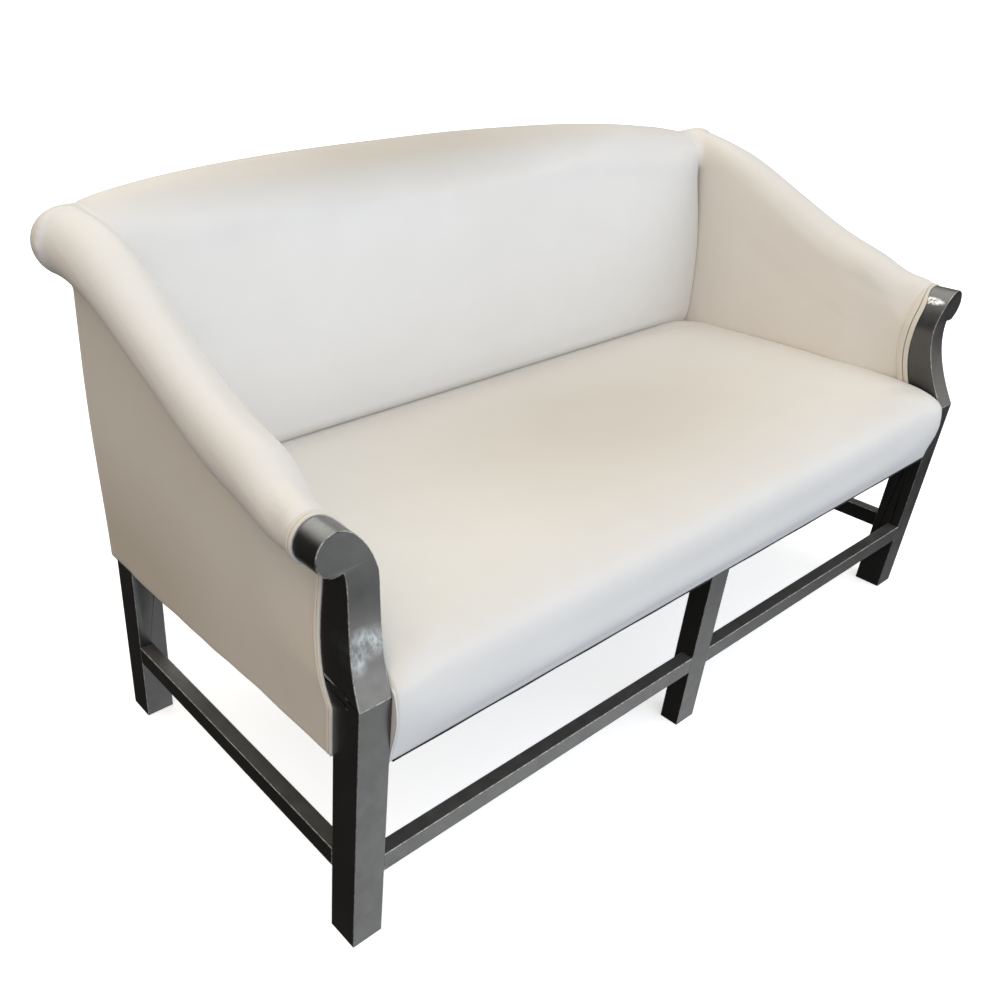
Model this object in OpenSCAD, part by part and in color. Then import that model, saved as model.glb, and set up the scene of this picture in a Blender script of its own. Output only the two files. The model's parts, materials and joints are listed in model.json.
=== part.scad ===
// Upholstered loveseat with swept, scrolled front posts, straight legs and low stretchers.
// X runs along the seat, Y from front to back, Z up. The origin is under the middle of the whole piece, on the floor.

/* [Show frame] */
// Width over the outer faces of the corner legs
frame_w = 1524; // [1400:4:1700]
// Width and depth of a corner leg
leg_w = 50; // [46:1:54]
// Distance from the front plane of the legs to the front face of the back legs
back_leg_y = 592; // [580:1:600]
// Height of the underside of the stretchers
stretcher_z = 120; // [90:1:200]
// Height of a stretcher
stretcher_h = 32; // [24:1:40]
// Depth of the front stretchers
front_stretcher_d = 22; // [16:1:30]
// Width of the side stretchers
side_stretcher_w = 25; // [16:1:30]
// Width of the middle legs
mid_leg_w = 48; // [36:1:60]
// Depth of the middle legs
mid_leg_d = 34; // [26:1:44]

/* [Upholstery] */
// Thickness of the leather
skin = 2.5; // [1.5:0.1:3]
// Height of the lower edge of the upholstery
hem_z = 315; // [314:0.5:316]
// Height of the top of the back at its middle
back_top = 901; // [880:1:910]
// How much lower the top of the back is at its ends
back_drop = 45; // [30:1:50]
// Radius of the roll along the top of the back
back_r = 46; // [44:1:47]
// Diameter of one cord of the double welt
welt_d = 5; // [4:0.5:6]

/* [Springs] */
// Number of seat springs
seat_spring_n = 8; // [6:1:8]
// Width of the spring wire
wire = 4; // [3:0.5:4]

/* [Hidden] */

hw = frame_w / 2;              // outer face of the legs
fy = -355.8;                     // where the front plane of the legs lies in Y
rail_z0 = 320;                 // underside and top of the seat rails
rail_z1 = 395;
kink_z = 423;                  // where the front posts start to sweep back and in
scroll_u = 6;                  // centre of the scroll, inboard from the leg's outer face
scroll_z = 610.5;
scroll_r = 29.5;
face_y = 52.7;                 // front plane of the scroll
rear_y = 95;                   // rear plane of the scroll
metal = [0.33, 0.34, 0.35];
leather = [0.90, 0.88, 0.84];
timber = [0.76, 0.62, 0.43];
foam_c = [0.93, 0.88, 0.66];
steel = [0.55, 0.56, 0.58];
g = 0.3;                       // gap between a pad and what it lies against

module at_frame() translate([0, fy, 0]) children();
module both() { children(); mirror([1, 0, 0]) children(); }
// 2-D profile in (y, z), run along X from x0 to x1
module along_x(x0, x1) translate([x0, 0, 0]) rotate([90, 0, 90]) linear_extrude(x1 - x0) children();
// 2-D profile in (x, z), run along Y from y0 to y1
module along_y(y0, y1) translate([0, y1, 0]) rotate([90, 0, 0]) linear_extrude(y1 - y0) children();
module box(a, b) translate(a) cube(b - a);

function bez(p, t) = pow(1 - t, 3) * p[0] + 3 * pow(1 - t, 2) * t * p[1] + 3 * (1 - t) * t * t * p[2] + pow(t, 3) * p[3];
function curve(p, n) = [for (i = [0:n]) bez(p, i / n)];
function clamp(v, a, b) = min(max(v, a), b);
// smooth interpolation through stations: x in xs gives a value from vs
function seg(xs, x, i = 0) = (i >= len(xs) - 2 || x < xs[i + 1]) ? i : seg(xs, x, i + 1);
function slope(xs, vs, i) = i == 0 ? (vs[1] - vs[0]) / (xs[1] - xs[0])
  : i == len(xs) - 1 ? (vs[i] - vs[i - 1]) / (xs[i] - xs[i - 1])
  : (vs[i + 1] - vs[i - 1]) / (xs[i + 1] - xs[i - 1]);
function smooth(xs, vs, x) = let (i = seg(xs, x), h = xs[i + 1] - xs[i], t = clamp((x - xs[i]) / h, 0, 1),
  a = slope(xs, vs, i) * h, b = slope(xs, vs, i + 1) * h)
  (2*t*t*t - 3*t*t + 1) * vs[i] + (t*t*t - 2*t*t + t) * a + (-2*t*t*t + 3*t*t) * vs[i + 1] + (t*t*t - t*t) * b;

// A closed shell through rings that all have the same number of points.
// Its ends are closed by strips between the two halves of a ring, or round a middle point where one is given.
module loft(rings, mids = []) {
  n = len(rings[0]); m = len(rings); h = n / 2; fan = len(mids) == 2;
  function sides(k) = [for (i = [0:n - 1]) let (j = (i + 1) % n) each [[k*n + i, (k+1)*n + i, (k+1)*n + j], [k*n + i, (k+1)*n + j, k*n + j]]];
  function near(o) = fan ? [for (i = [0:n - 1]) [o + i, o + (i + 1) % n, m * n]]
    : [for (i = [0:h - 2]) each [[o + i, o + i + 1, o + n - 2 - i], [o + i, o + n - 2 - i, o + n - 1 - i]]];
  function far(o) = fan ? [for (i = [0:n - 1]) [o + (i + 1) % n, o + i, m * n + 1]]
    : [for (i = [0:h - 2]) each [[o + i + 1, o + i, o + n - 2 - i], [o + n - 2 - i, o + i, o + n - 1 - i]]];
  polyhedron(points = concat([for (r = rings) each r], mids),
    faces = concat(near(0), far((m - 1) * n), [for (k = [0:m - 2]) each sides(k)]), convexity = 6);
}
// A round cord along a path
function unit(v) = v / norm(v);
module cord(path, r, sides = 6) {
  n = len(path);
  loft([for (i = [0:n - 1]) let (t = unit(path[min(i + 1, n - 1)] - path[max(i - 1, 0)]),
    a = unit(cross(t, [0, 1, 0.01])), b = cross(t, a))
    [for (k = [0:sides - 1]) path[i] + r * (cos(360 * k / sides) * a + sin(360 * k / sides) * b)]]);
}
// The same open path, moved to its left by d
function shifted(p, d) = [for (i = [0:len(p) - 1]) let (t = unit(p[min(i + 1, len(p) - 1)] - p[max(i - 1, 0)])) p[i] + d * [-t[1], t[0]]];
function rev(p) = [for (i = [len(p) - 1:-1:0]) p[i]];

// ---- front posts: one piece from the floor to the scroll ----
function post_outer() = curve([[0, kink_z], [5, 480], [27, 548], [16, 582.5]], 18);
function post_inner() = concat(curve([[leg_w, kink_z], [leg_w + 1, 460], [leg_w + 19.5, 525], [leg_w + 17, 568]], 14),
  [for (i = [1:12]) bez([[leg_w + 17, 568], [leg_w + 14.5, 588], [36, scroll_z + scroll_r], [scroll_u, scroll_z + scroll_r]], i / 12)]);
function scroll_arc() = [for (i = [1:31]) let (a = 86 + 202 * i / 32) [scroll_u + scroll_r * cos(a), scroll_z + scroll_r * sin(a)]];
function post_face(z) = z <= kink_z ? 0 : z >= 600 ? face_y : face_y * (1 - pow((600 - z) / 177, 2));
function post_rear(z) = z <= 395 ? leg_w : z >= 545 ? leg_w + 45 : leg_w + 45 * (1 - pow((545 - z) / 150, 2));
module post_shape() intersection() {
  along_y(-1, 200) polygon(concat([[0, 0], [leg_w, 0]], post_inner(), scroll_arc(), rev(post_outer())));
  along_x(-60, 120) polygon(concat([[0, 0], [leg_w, 0]],
    [for (i = [0:16]) let (z = 395 + 150 * i / 16) [post_rear(z), z]], [[rear_y, 660], [face_y, 660]],
    [for (i = [0:16]) let (z = 600 - 177 * i / 16) [post_face(z), z]]));
}
module front_post() difference() {
  translate([-hw, 0, 0]) post_shape();
  dowels(0.1); stretcher_pins(0.1); plug_set(0.05);
}

// ---- back posts: straight leg below, raked upright inside the upholstery above ----
module back_post() difference() {
  union() {
    box([-hw, back_leg_y, 0], [-hw + leg_w, back_leg_y + 50, 308]);
    along_x(-hw + 10, -hw + leg_w) polygon([[back_leg_y, 307], [back_leg_y + 50, 307], [back_leg_y + 66, 400],
      [back_leg_y + 68, 798], [back_leg_y + 40, 798], [back_leg_y, 330]]);
  }
  dowels(0.1); stretcher_pins(0.1);
}

// ---- middle legs and stretchers ----
module mid_leg(y0) difference() {
  box([-mid_leg_w / 2, y0, 0], [mid_leg_w / 2, y0 + mid_leg_d, rail_z0]);
  leg_bolt_set(0.1); stretcher_pins(0.1);
}
module front_stretcher() difference() {
  box([-hw + leg_w, 0, stretcher_z], [-mid_leg_w / 2, front_stretcher_d, stretcher_z + stretcher_h]);
  stretcher_pins(0.1);
}
module side_stretcher() difference() {
  box([-hw, leg_w, stretcher_z], [-hw + side_stretcher_w, back_leg_y, stretcher_z + stretcher_h]);
  stretcher_pins(0.1);
}

// ---- hidden timber ----
brail_y = back_leg_y + 13;     // front face of the back seat rail
module front_rail() difference() {
  box([-hw + leg_w, 4, rail_z0], [hw - leg_w, 30, rail_z1]);
  both() dowels(0.1); both() block_screws(0.1); leg_bolt_set(0.1);
}
module back_rail() difference() {
  box([-hw + leg_w, brail_y, rail_z0], [hw - leg_w, brail_y + 26, rail_z1]);
  both() dowels(0.1); both() block_screws(0.1); leg_bolt_set(0.1);
}
module side_rail() difference() {
  box([-hw + 12, leg_w + 2, rail_z0], [-hw + 38, back_leg_y, rail_z1]);
  dowels(0.1); block_screws(0.1);
}
module brace() box([-20, 30, 326], [20, brail_y, 376]);
module blocks() difference() {
  union() {
    translate([-hw, 0, 326]) linear_extrude(56) polygon([[leg_w + g, 30 + g], [130, 30 + g], [38 + g, 122], [38 + g, leg_w + 8], [leg_w + g, leg_w + 8]]);
    translate([-hw, 0, 326]) linear_extrude(56) polygon([[leg_w + g, brail_y - g], [130, brail_y - g], [38 + g, brail_y - 90], [38 + g, back_leg_y - g], [leg_w + g, back_leg_y - g]]);
  }
  block_screws(0.1);
}
module block_screws(c) for (z = [340, 366]) {
  translate([-hw + 92, 12, z]) rotate([-90, 0, 0]) cylinder(r = 2.5 + c, h = 38, $fn = 24);
  translate([-hw + 20, 84, z + 6]) rotate([0, 90, 0]) cylinder(r = 2.5 + c, h = 38, $fn = 24);
  translate([-hw + 92, brail_y + 18, z]) rotate([90, 0, 0]) cylinder(r = 2.5 + c, h = 38, $fn = 24);
  translate([-hw + 20, brail_y - 52, z + 6]) rotate([0, 90, 0]) cylinder(r = 2.5 + c, h = 38, $fn = 24);
}
module dowels(c) for (z = [340, 376]) {
  translate([-hw + leg_w - 18, 17, z]) rotate([0, 90, 0]) cylinder(r = 5 + c, h = 40, $fn = 32);
  translate([-hw + leg_w - 18, brail_y + 13, z]) rotate([0, 90, 0]) cylinder(r = 5 + c, h = 40, $fn = 32);
  translate([-hw + 25, leg_w - 16, z - 8]) rotate([-90, 0, 0]) cylinder(r = 5 + c, h = 40, $fn = 32);
  translate([-hw + 25, back_leg_y - 20, z - 8]) rotate([-90, 0, 0]) cylinder(r = 5 + c, h = 40, $fn = 32);
}
module stretcher_pins(c) {
  zc = stretcher_z + stretcher_h / 2;
  both() {
    translate([-hw + leg_w - 15, front_stretcher_d / 2, zc]) rotate([0, 90, 0]) cylinder(r = 4.5 + c, h = 35, $fn = 32);
    translate([-mid_leg_w / 2 - 20, front_stretcher_d / 2, zc]) rotate([0, 90, 0]) cylinder(r = 4.5 + c, h = 34, $fn = 32);
    translate([-hw + side_stretcher_w / 2, leg_w - 15, zc]) rotate([-90, 0, 0]) cylinder(r = 4.5 + c, h = 35, $fn = 32);
    translate([-hw + side_stretcher_w / 2, back_leg_y - 20, zc]) rotate([-90, 0, 0]) cylinder(r = 4.5 + c, h = 35, $fn = 32);
  }
}
module leg_bolt_set(c) for (y = [17, brail_y + 13])
  translate([0, y, rail_z0 - 40]) cylinder(r = 4 + c, h = 70, $fn = 32);
// each plug sits a little below the mouth of its hole
module plug_set(c) for (p = [[23.5, 416], [25, 431]])
  translate([-hw + (c > 0 ? -2 : 1.4), p[0], p[1]]) rotate([0, 90, 0]) cylinder(r = 4 + c, h = c > 0 ? 13.4 : 10, $fn = 32);

// ---- springs ----
// flat serpentine spring lying in the plane: along +Y from 0 to len
module serpentine(len, amp, pitch, w) {
  n = floor(len / pitch) * 8; step = len / n;
  c = [for (i = [0:n]) [amp * clamp(1.25 * sin(360 * i / 8), -1, 1), i * step]];
  polygon(concat(shifted(c, w / 2), rev(shifted(c, -w / 2))));
}
function seat_spring_x(i) = -630 + i * 1260 / (seat_spring_n - 1);
module seat_spring_set() for (i = [0:seat_spring_n - 1])
  translate([seat_spring_x(i), 18, rail_z1 + 0.3]) linear_extrude(wire) serpentine(back_leg_y + 12, 20, 45, wire);
module clip(w, d, t, h) { // bridge over a wire end, open to the front and back
  box([-w, -d, h], [w, d, h + t]);
  both() box([w - 3, -d, 0], [w, d, h + t]);
}
module seat_clips() for (i = [0:seat_spring_n - 1]) for (y = [19, back_leg_y + 28])
  translate([seat_spring_x(i), y, rail_z1]) clip(27, 7, 1.6, wire + 0.8);
module burlap_seat() box([-hw + 58, 6, 403], [hw - 58, back_leg_y + 40, 405]);

// ---- seat ----
seat_path = [[1, hem_z], [-5, 335], [-10, 362], [-13.5, 392], [-12, 418], [-5, 440], [10, 455], [40, 463.5], [84, 468], [160, 471], [260, 472], [380, 469.5], [480, 465], [545, 460], [574, 455]];
module seat_plan(y_in) difference() {
  children();
  both() box([-hw - 10, y_in, 300], [-hw + 73, 700, 520]);
}
module seat_skin() seat_plan(97) along_x(-hw + 59, hw - 59)
  polygon(concat(rev(seat_path), shifted(seat_path, -skin)));
module seat_pad() seat_plan(97) along_x(-hw + 59.3, hw - 59.3)
  polygon(concat(rev(shifted(seat_path, -skin - g)), [[3.6, hem_z + 3], [3.6, 405.4], [573, 405.4]]));
module dust_sheet() difference() {
  box([-hw + 6, 2, hem_z + 1.5], [hw - 6, back_leg_y + 48, hem_z + 3.5]);
  both() { box([-hw - 1, -1, 300], [-hw + leg_w + 1, 59, 330]); box([-hw - 1, back_leg_y - 1, 300], [-hw + leg_w + 1, back_leg_y + 60, 330]); }
  box([-mid_leg_w / 2 - 1, -1, 300], [mid_leg_w / 2 + 1, mid_leg_d + 1, 330]);
  box([-mid_leg_w / 2 - 1, brail_y - 6, 300], [mid_leg_w / 2 + 1, brail_y + 45, 330]);
}

// ---- back ----
function arch(x) = back_top - back_drop * (0.09 * pow(x / 718, 2) + 0.91 * pow(x / 718, 4));
function roll_z(x) = arch(x) - back_r;
function roll_y(x) = 673 + 0.148 * (roll_z(x) - 811);
// front face of the back: leaning, fuller in the middle
function fuller(x, z) = (11 + 5 * (1 - pow(x / 720, 4))) * sin(180 * clamp((z - 445) / (roll_z(x) - 495), 0, 1));
function face(x, z) = roll_y(x) - back_r - 0.148 * (roll_z(x) - z) - fuller(x, z);
function back_path(x) = concat(
  [for (z = [440, 490, 545, 600, 655, 710, 765]) let (zz = 440 + (z - 440) * (roll_z(x) - 440) / 371) [face(x, zz), zz]],
  [for (i = [0:17]) let (a = 180 - 265 * i / 17) [roll_y(x) + back_r * cos(a), roll_z(x) + back_r * sin(a)]]);
// the end sections lean outward with the inside faces of the arms
function placed(x, ring) = [for (p = ring) [x + (x == 0 ? 0 : x / 689 * 13 * (p[1] - 452) / 400), p[0], p[1]]];
back_xs = [-689, -640, -560, -460, -340, -180, 0, 180, 340, 460, 560, 640, 689];
module back_skin() loft([for (x = back_xs) let (p = back_path(x)) placed(x, concat(p, rev(shifted(p, -skin))))]);
brl = 0.065;                   // slope of the burlap and springs of the back
function burlap_y(z) = 605 + brl * (z - 400);
// the pad's rear side: along the burlap, then round the top rail
function pad_rear(x) = let (z = roll_z(x)) concat(
  [for (i = [0:6]) let (q = 445 + (z - 520) * i / 6) [burlap_y(q) - g, q]],
  [[burlap_y(z - 70) - g, z - 70]], [for (i = [0:4]) [637.5, z - 66 + 63 * i / 4]],
  [for (i = [1:5]) [637.5 + 26.5 * i / 5, z - 3]], [for (i = [1:7]) [664, z - 3 - 37 * i / 7]]);
module back_pad() loft([for (x = back_xs) placed(x, concat(shifted(back_path(x), -skin - g), rev(pad_rear(x))))]);
module lean() translate([0, 605, 400]) rotate([-atan(brl), 0, 0]) rotate([90, 0, 0]) children();
module burlap_back() lean() translate([0, 0, -2]) linear_extrude(2)
  polygon(concat([[-682, 15], [682, 15]], [for (i = [12:-1:-12]) let (x = 682 * i / 12) [x, roll_z(x) - 400 - 72]]));
back_spring_x = [-550, -350, -130, 130, 350, 550];
function bs_top(x) = roll_z(x) - 400 - 22;
module back_spring_set() for (x = back_spring_x) lean() translate([x, 22, -3.2 - wire]) linear_extrude(wire) serpentine(bs_top(x) - 22, 20, 45, wire);
module back_clips() for (x = back_spring_x) for (y = [27, bs_top(x) - 6])
  lean() translate([x, y, -3.4 - wire]) clip(27, 5, 0.7, wire + 0.4);
module top_rail() along_y(641, 663) polygon(concat(
  [for (i = [-12:12]) let (x = (hw - leg_w - 0.2) * i / 12) [x, roll_z(x) - 62]],
  [for (i = [12:-1:-12]) let (x = (hw - leg_w - 0.2) * i / 12) [x, roll_z(x) - 5]]));
module lower_rail() box([-hw + leg_w + 0.2, 615.5, 405], [hw - leg_w - 0.2, 655, 452]);
module stile() box([-20, 642, 452], [20, 655, roll_z(20) - 62.3]);
module back_panel() along_y(664.5, 668.5) polygon(concat(
  [[-hw + 7, hem_z], [hw - 7, hem_z]],
  [for (i = [12:-1:-12]) let (x = (hw - 7) * i / 12) [x, roll_z(x) - back_r - 4]]));

// ---- arms ----
arm_ys = [96, 190, 300, 420, 540, 630, 708];
arm_us = [scroll_u + 4, 16, 16, 15, 12, 11, 6];
arm_zs = [scroll_z - 1, 622, 668, 724, 780, 808, 823];
arm_rs = [scroll_r + 3.8, 43, 45, 45, 45.5, 45.5, 46];
function au(y) = smooth(arm_ys, arm_us, y);
function az(y) = smooth(arm_ys, arm_zs, y);
function ar(y) = smooth(arm_ys, arm_rs, y);
function inner_u(y, z) = let (top = au(y) + ar(y), low = 60 + 11 * clamp((y - 97) / 120, 0, 1), t = clamp((az(y) - z) / (az(y) - 405), 0, 1))
  top + (low - top) * t + 6 * sin(180 * t) * clamp((y - 97) / 120, 0, 1) * (t < 1 ? 1 : 0);
function arm_path(y) = concat(
  [for (i = [0:20]) let (a = 262 - 262 * i / 20) [au(y) + ar(y) * cos(a), az(y) + ar(y) * sin(a)]],
  [for (i = [1:6]) let (z = az(y) - (az(y) - 408) * i / 6) [inner_u(y, z), z]]);
arm_st = [97, 115, 140, 175, 220, 270, 330, 400, 470, 540, 600, 655, 708];
function on_left(y, ring) = [for (p = ring) [-hw + p[0], y, p[1]]];
module arm_skin() difference() {
  loft([for (y = arm_st) let (p = arm_path(y)) on_left(y, concat(p, rev(shifted(p, -skin))))]);
  arm_clear();
}
module arm_pad() difference() {
  loft([for (y = arm_st) let (q = az(y) - ar(y) - 6) on_left(y, concat(shifted(arm_path(y), -skin - g), [[inner_u(y, 408) - 14, 408], [inner_u(y, q) - 14, q]]))],
    [for (y = [arm_st[0], arm_st[12]]) [-hw + inner_u(y, az(y) - 20) - 8, y, az(y) - 20]]);
  arm_clear();
  along_x(-hw + 19.6, -hw + 42.4) arm_board(0.4);
}
// room for the back post, the back and the rear of the front post
module arm_clear() {
  box([-hw + 9, back_leg_y - 1, 300], [-hw + leg_w + 1, 669.5, 799]);
  box([-hw + 40, 572, 380], [-hw + 80, 720, 762]);
  box([-hw - 60, 664, 380], [-hw + 81, 721, 762]);
}
module arm_board(c) polygon(concat(
  [for (i = [0:20]) let (y = 95.4 + (626 - 95.4) * i / 20) [y + (i == 20 ? 2 * c : 0), az(y) - 45 - c]],
  [for (i = [20:-1:0]) let (y = 95.4 + (626 - 95.4) * i / 20) [y + (i == 20 ? 2 * c : 0), az(y) - 14 + c]]));
module arm_rail() along_x(-hw + 20, -hw + 42) arm_board(0);
module tack_rail() box([-hw + 14, 89, 458], [-hw + 34, 601, 484]);
module side_panel() along_x(-hw + 1, -hw + 6) polygon(concat(
  [[660, hem_z], [664, az(640) - ar(640) - 6]],
  [for (i = [12:-1:0]) let (y = 104 + (640 - 104) * i / 12) [y, az(y) - ar(y) - 2]],
  [for (i = [10:-1:0]) let (z = hem_z + (545 - hem_z) * i / 10) [post_rear(z) + 2, z]]));

// ---- double welt round the rear edge of each front post ----
welt_line = concat([for (z = [hem_z + 2, 350, 385, 410]) [-0.5, z]], rev([for (p = [for (i = [2:2:18]) post_outer()[18 - i]]) p + [-3, 0]]),
  [for (i = [28:-3:1]) let (a = 86 + 193 * i / 32) [scroll_u + (scroll_r + 3) * cos(a), scroll_z + (scroll_r + 3) * sin(a)]],
  [for (p = rev([for (i = [4:2:26]) post_inner()[i]])) p + [3, 1.5]]);
module welt(dy) cord([for (p = welt_line) [-hw + p[0], post_rear(p[1]) + dy, p[1]]], welt_d / 2);

module front_left_post() color(metal) at_frame() front_post();
module front_right_post() color(metal) at_frame() mirror([1, 0, 0]) front_post();
module front_center_leg() color(metal) at_frame() mid_leg(0);
module back_left_post() color(metal) at_frame() back_post();
module back_right_post() color(metal) at_frame() mirror([1, 0, 0]) back_post();
module back_center_leg() color(metal) at_frame() mid_leg(brail_y - 4);
module front_left_stretcher() color(metal) at_frame() front_stretcher();
module front_right_stretcher() color(metal) at_frame() mirror([1, 0, 0]) front_stretcher();
module left_side_stretcher() color(metal) at_frame() side_stretcher();
module right_side_stretcher() color(metal) at_frame() mirror([1, 0, 0]) side_stretcher();
module front_seat_rail() color(timber) at_frame() front_rail();
module back_seat_rail() color(timber) at_frame() back_rail();
module left_seat_rail() color(timber) at_frame() side_rail();
module right_seat_rail() color(timber) at_frame() mirror([1, 0, 0]) side_rail();
module seat_center_brace() color(timber) at_frame() brace();
module corner_blocks() color(timber) at_frame() both() blocks();
module corner_block_screws() color(steel) at_frame() both() block_screws(0);
module seat_springs() color(steel) at_frame() seat_spring_set();
module seat_spring_clips() color(steel) at_frame() seat_clips();
module seat_burlap() color("tan") at_frame() burlap_seat();
module seat_foam() color(foam_c) at_frame() seat_pad();
module seat_cover() color(leather) at_frame() seat_skin();
module dust_cover() color([0.1, 0.1, 0.1]) at_frame() dust_sheet();
module back_top_rail() color(timber) at_frame() top_rail();
module back_lower_rail() color(timber) at_frame() lower_rail();
module back_center_stile() color(timber) at_frame() stile();
module back_springs() color(steel) at_frame() back_spring_set();
module back_spring_clips() color(steel) at_frame() back_clips();
module back_burlap() color("tan") at_frame() burlap_back();
module back_foam() color(foam_c) at_frame() back_pad();
module inside_back_cover() color(leather) at_frame() back_skin();
module outside_back_panel() color(leather) at_frame() back_panel();
module left_arm_rail() color(timber) at_frame() arm_rail();
module right_arm_rail() color(timber) at_frame() mirror([1, 0, 0]) arm_rail();
module left_arm_tack_rail() color(timber) at_frame() tack_rail();
module right_arm_tack_rail() color(timber) at_frame() mirror([1, 0, 0]) tack_rail();
module left_arm_foam() color(foam_c) at_frame() arm_pad();
module right_arm_foam() color(foam_c) at_frame() mirror([1, 0, 0]) arm_pad();
module left_arm_cover() color(leather) at_frame() arm_skin();
module right_arm_cover() color(leather) at_frame() mirror([1, 0, 0]) arm_skin();
module left_outside_panel() color(leather) at_frame() side_panel();
module right_outside_panel() color(leather) at_frame() mirror([1, 0, 0]) side_panel();
module left_arm_welt() color(leather) at_frame() { welt(3); welt(3 + welt_d + 0.4); }
module right_arm_welt() color(leather) at_frame() mirror([1, 0, 0]) { welt(3); welt(3 + welt_d + 0.4); }
module rail_dowels() color(timber) at_frame() both() dowels(0);
module stretcher_dowels() color(timber) at_frame() stretcher_pins(0);
module center_leg_bolts() color(steel) at_frame() leg_bolt_set(0);
module post_plugs() color(metal) at_frame() both() plug_set(0);

front_left_post();
front_right_post();
front_center_leg();
back_left_post();
back_right_post();
back_center_leg();
front_left_stretcher();
front_right_stretcher();
left_side_stretcher();
right_side_stretcher();
front_seat_rail();
back_seat_rail();
left_seat_rail();
right_seat_rail();
seat_center_brace();
corner_blocks();
corner_block_screws();
seat_springs();
seat_spring_clips();
seat_burlap();
seat_foam();
seat_cover();
dust_cover();
back_top_rail();
back_lower_rail();
back_center_stile();
back_springs();
back_spring_clips();
back_burlap();
back_foam();
inside_back_cover();
outside_back_panel();
left_arm_rail();
right_arm_rail();
left_arm_tack_rail();
right_arm_tack_rail();
left_arm_foam();
right_arm_foam();
left_arm_cover();
right_arm_cover();
left_outside_panel();
right_outside_panel();
left_arm_welt();
right_arm_welt();
rail_dowels();
stretcher_dowels();
center_leg_bolts();
post_plugs();
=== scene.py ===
import bpy, bmesh, json, math
import numpy as np
from mathutils import Vector, Matrix

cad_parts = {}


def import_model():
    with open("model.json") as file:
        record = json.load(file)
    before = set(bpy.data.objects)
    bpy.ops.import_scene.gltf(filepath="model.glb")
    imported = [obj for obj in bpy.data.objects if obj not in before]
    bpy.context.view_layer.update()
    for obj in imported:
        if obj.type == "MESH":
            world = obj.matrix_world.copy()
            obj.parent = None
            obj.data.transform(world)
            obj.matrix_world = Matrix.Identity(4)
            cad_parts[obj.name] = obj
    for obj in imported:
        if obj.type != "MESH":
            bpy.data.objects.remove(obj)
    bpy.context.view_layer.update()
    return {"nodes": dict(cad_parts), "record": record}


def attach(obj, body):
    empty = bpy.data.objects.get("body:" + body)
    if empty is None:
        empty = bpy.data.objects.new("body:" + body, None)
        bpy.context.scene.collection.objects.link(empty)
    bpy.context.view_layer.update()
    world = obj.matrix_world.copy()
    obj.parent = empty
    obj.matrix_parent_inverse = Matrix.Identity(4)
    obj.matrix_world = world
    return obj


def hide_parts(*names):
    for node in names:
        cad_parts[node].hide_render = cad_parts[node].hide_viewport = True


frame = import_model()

NODES = frame["nodes"]
scene = bpy.context.scene

# Lengths below are in millimetres in the legs' own frame: x along the seat, y back from the front plane
# of the legs, z up. u is the distance inboard from the legs' outer face. world() gives row-frame metres.
FY, HW = -0.3558, 762.0


def world(p):
    p = np.asarray(p, float)
    return p / 1000.0 + np.array([0.0, FY, 0.0])


# ------------------------------------------------------------------ camera
def make_camera():
    cam = bpy.data.cameras.new("photo_camera")
    ob = bpy.data.objects.new("photo_camera", cam)
    scene.collection.objects.link(ob)
    az, el, roll = math.radians(38.434), math.radians(-30.393), math.radians(0.824)
    d = Vector((math.cos(el) * math.sin(az), math.cos(el) * math.cos(az), math.sin(el)))
    r = d.cross(Vector((0, 0, 1))).normalized()
    u = r.cross(d)
    r2 = math.cos(roll) * r + math.sin(roll) * u
    u2 = math.cos(roll) * u - math.sin(roll) * r
    m = Matrix((r2, u2, -d)).transposed().to_4x4()
    m.translation = Vector((-1.2967, -1.0002, 1.1670))
    ob.matrix_world = m
    cam.sensor_fit = "HORIZONTAL"
    cam.sensor_width = 36.0
    cam.lens = 34.34
    cam.shift_x, cam.shift_y = 0.1539, 0.0245
    cam.clip_start, cam.clip_end = 0.05, 60
    scene.camera = ob


make_camera()


# ------------------------------------------------------------------ numbers shared with the CAD
def hermite(xs, vs, x):
    xs, vs = np.asarray(xs, float), np.asarray(vs, float)
    x = np.asarray(x, float)
    i = np.clip(np.searchsorted(xs, x, side="right") - 1, 0, len(xs) - 2)
    m = np.empty(len(xs))
    m[0] = (vs[1] - vs[0]) / (xs[1] - xs[0])
    m[-1] = (vs[-1] - vs[-2]) / (xs[-1] - xs[-2])
    m[1:-1] = (vs[2:] - vs[:-2]) / (xs[2:] - xs[:-2])
    h = xs[i + 1] - xs[i]
    t = np.clip((x - xs[i]) / h, 0, 1)
    return ((2 * t**3 - 3 * t**2 + 1) * vs[i] + (t**3 - 2 * t**2 + t) * m[i] * h
            + (-2 * t**3 + 3 * t**2) * vs[i + 1] + (t**3 - t**2) * m[i + 1] * h)


def smoothstep(a, b, x):
    t = np.clip((np.asarray(x, float) - a) / (b - a), 0, 1)
    return t * t * (3 - 2 * t)


def bez(p, t):
    p = np.asarray(p, float)
    t = np.asarray(t, float)[:, None]
    return (1 - t) ** 3 * p[0] + 3 * (1 - t) ** 2 * t * p[1] + 3 * (1 - t) * t * t * p[2] + t**3 * p[3]


ARM_Y = [96, 130, 190, 300, 420, 540, 630, 708]
ARM_U = [7, 12.5, 17.5, 16.5, 15, 12, 9, 0]
ARM_Z = [611, 616, 631, 664.5, 721.5, 780, 808, 819]
ARM_R = [31, 38.5, 43.5, 45, 45, 45.5, 46, 46.5]
au = lambda y: hermite(ARM_Y, ARM_U, y)
az = lambda y: hermite(ARM_Y, ARM_Z, y)
ar = lambda y: hermite(ARM_Y, ARM_R, y)

SU, SZ, SR = 6.0, 610.5, 29.5  # middle of the posts' scroll and its radius
OUTER = bez([[0, 423], [5, 480], [27, 548], [16, 582.5]], np.linspace(0, 1, 60))
INNER = bez([[50, 423], [51, 460], [69.5, 525], [67, 568]], np.linspace(0, 1, 60))
CAP = bez([[67, 568], [64.5, 588], [36, SZ + SR], [SU, SZ + SR]], np.linspace(0, 1, 60))


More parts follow.
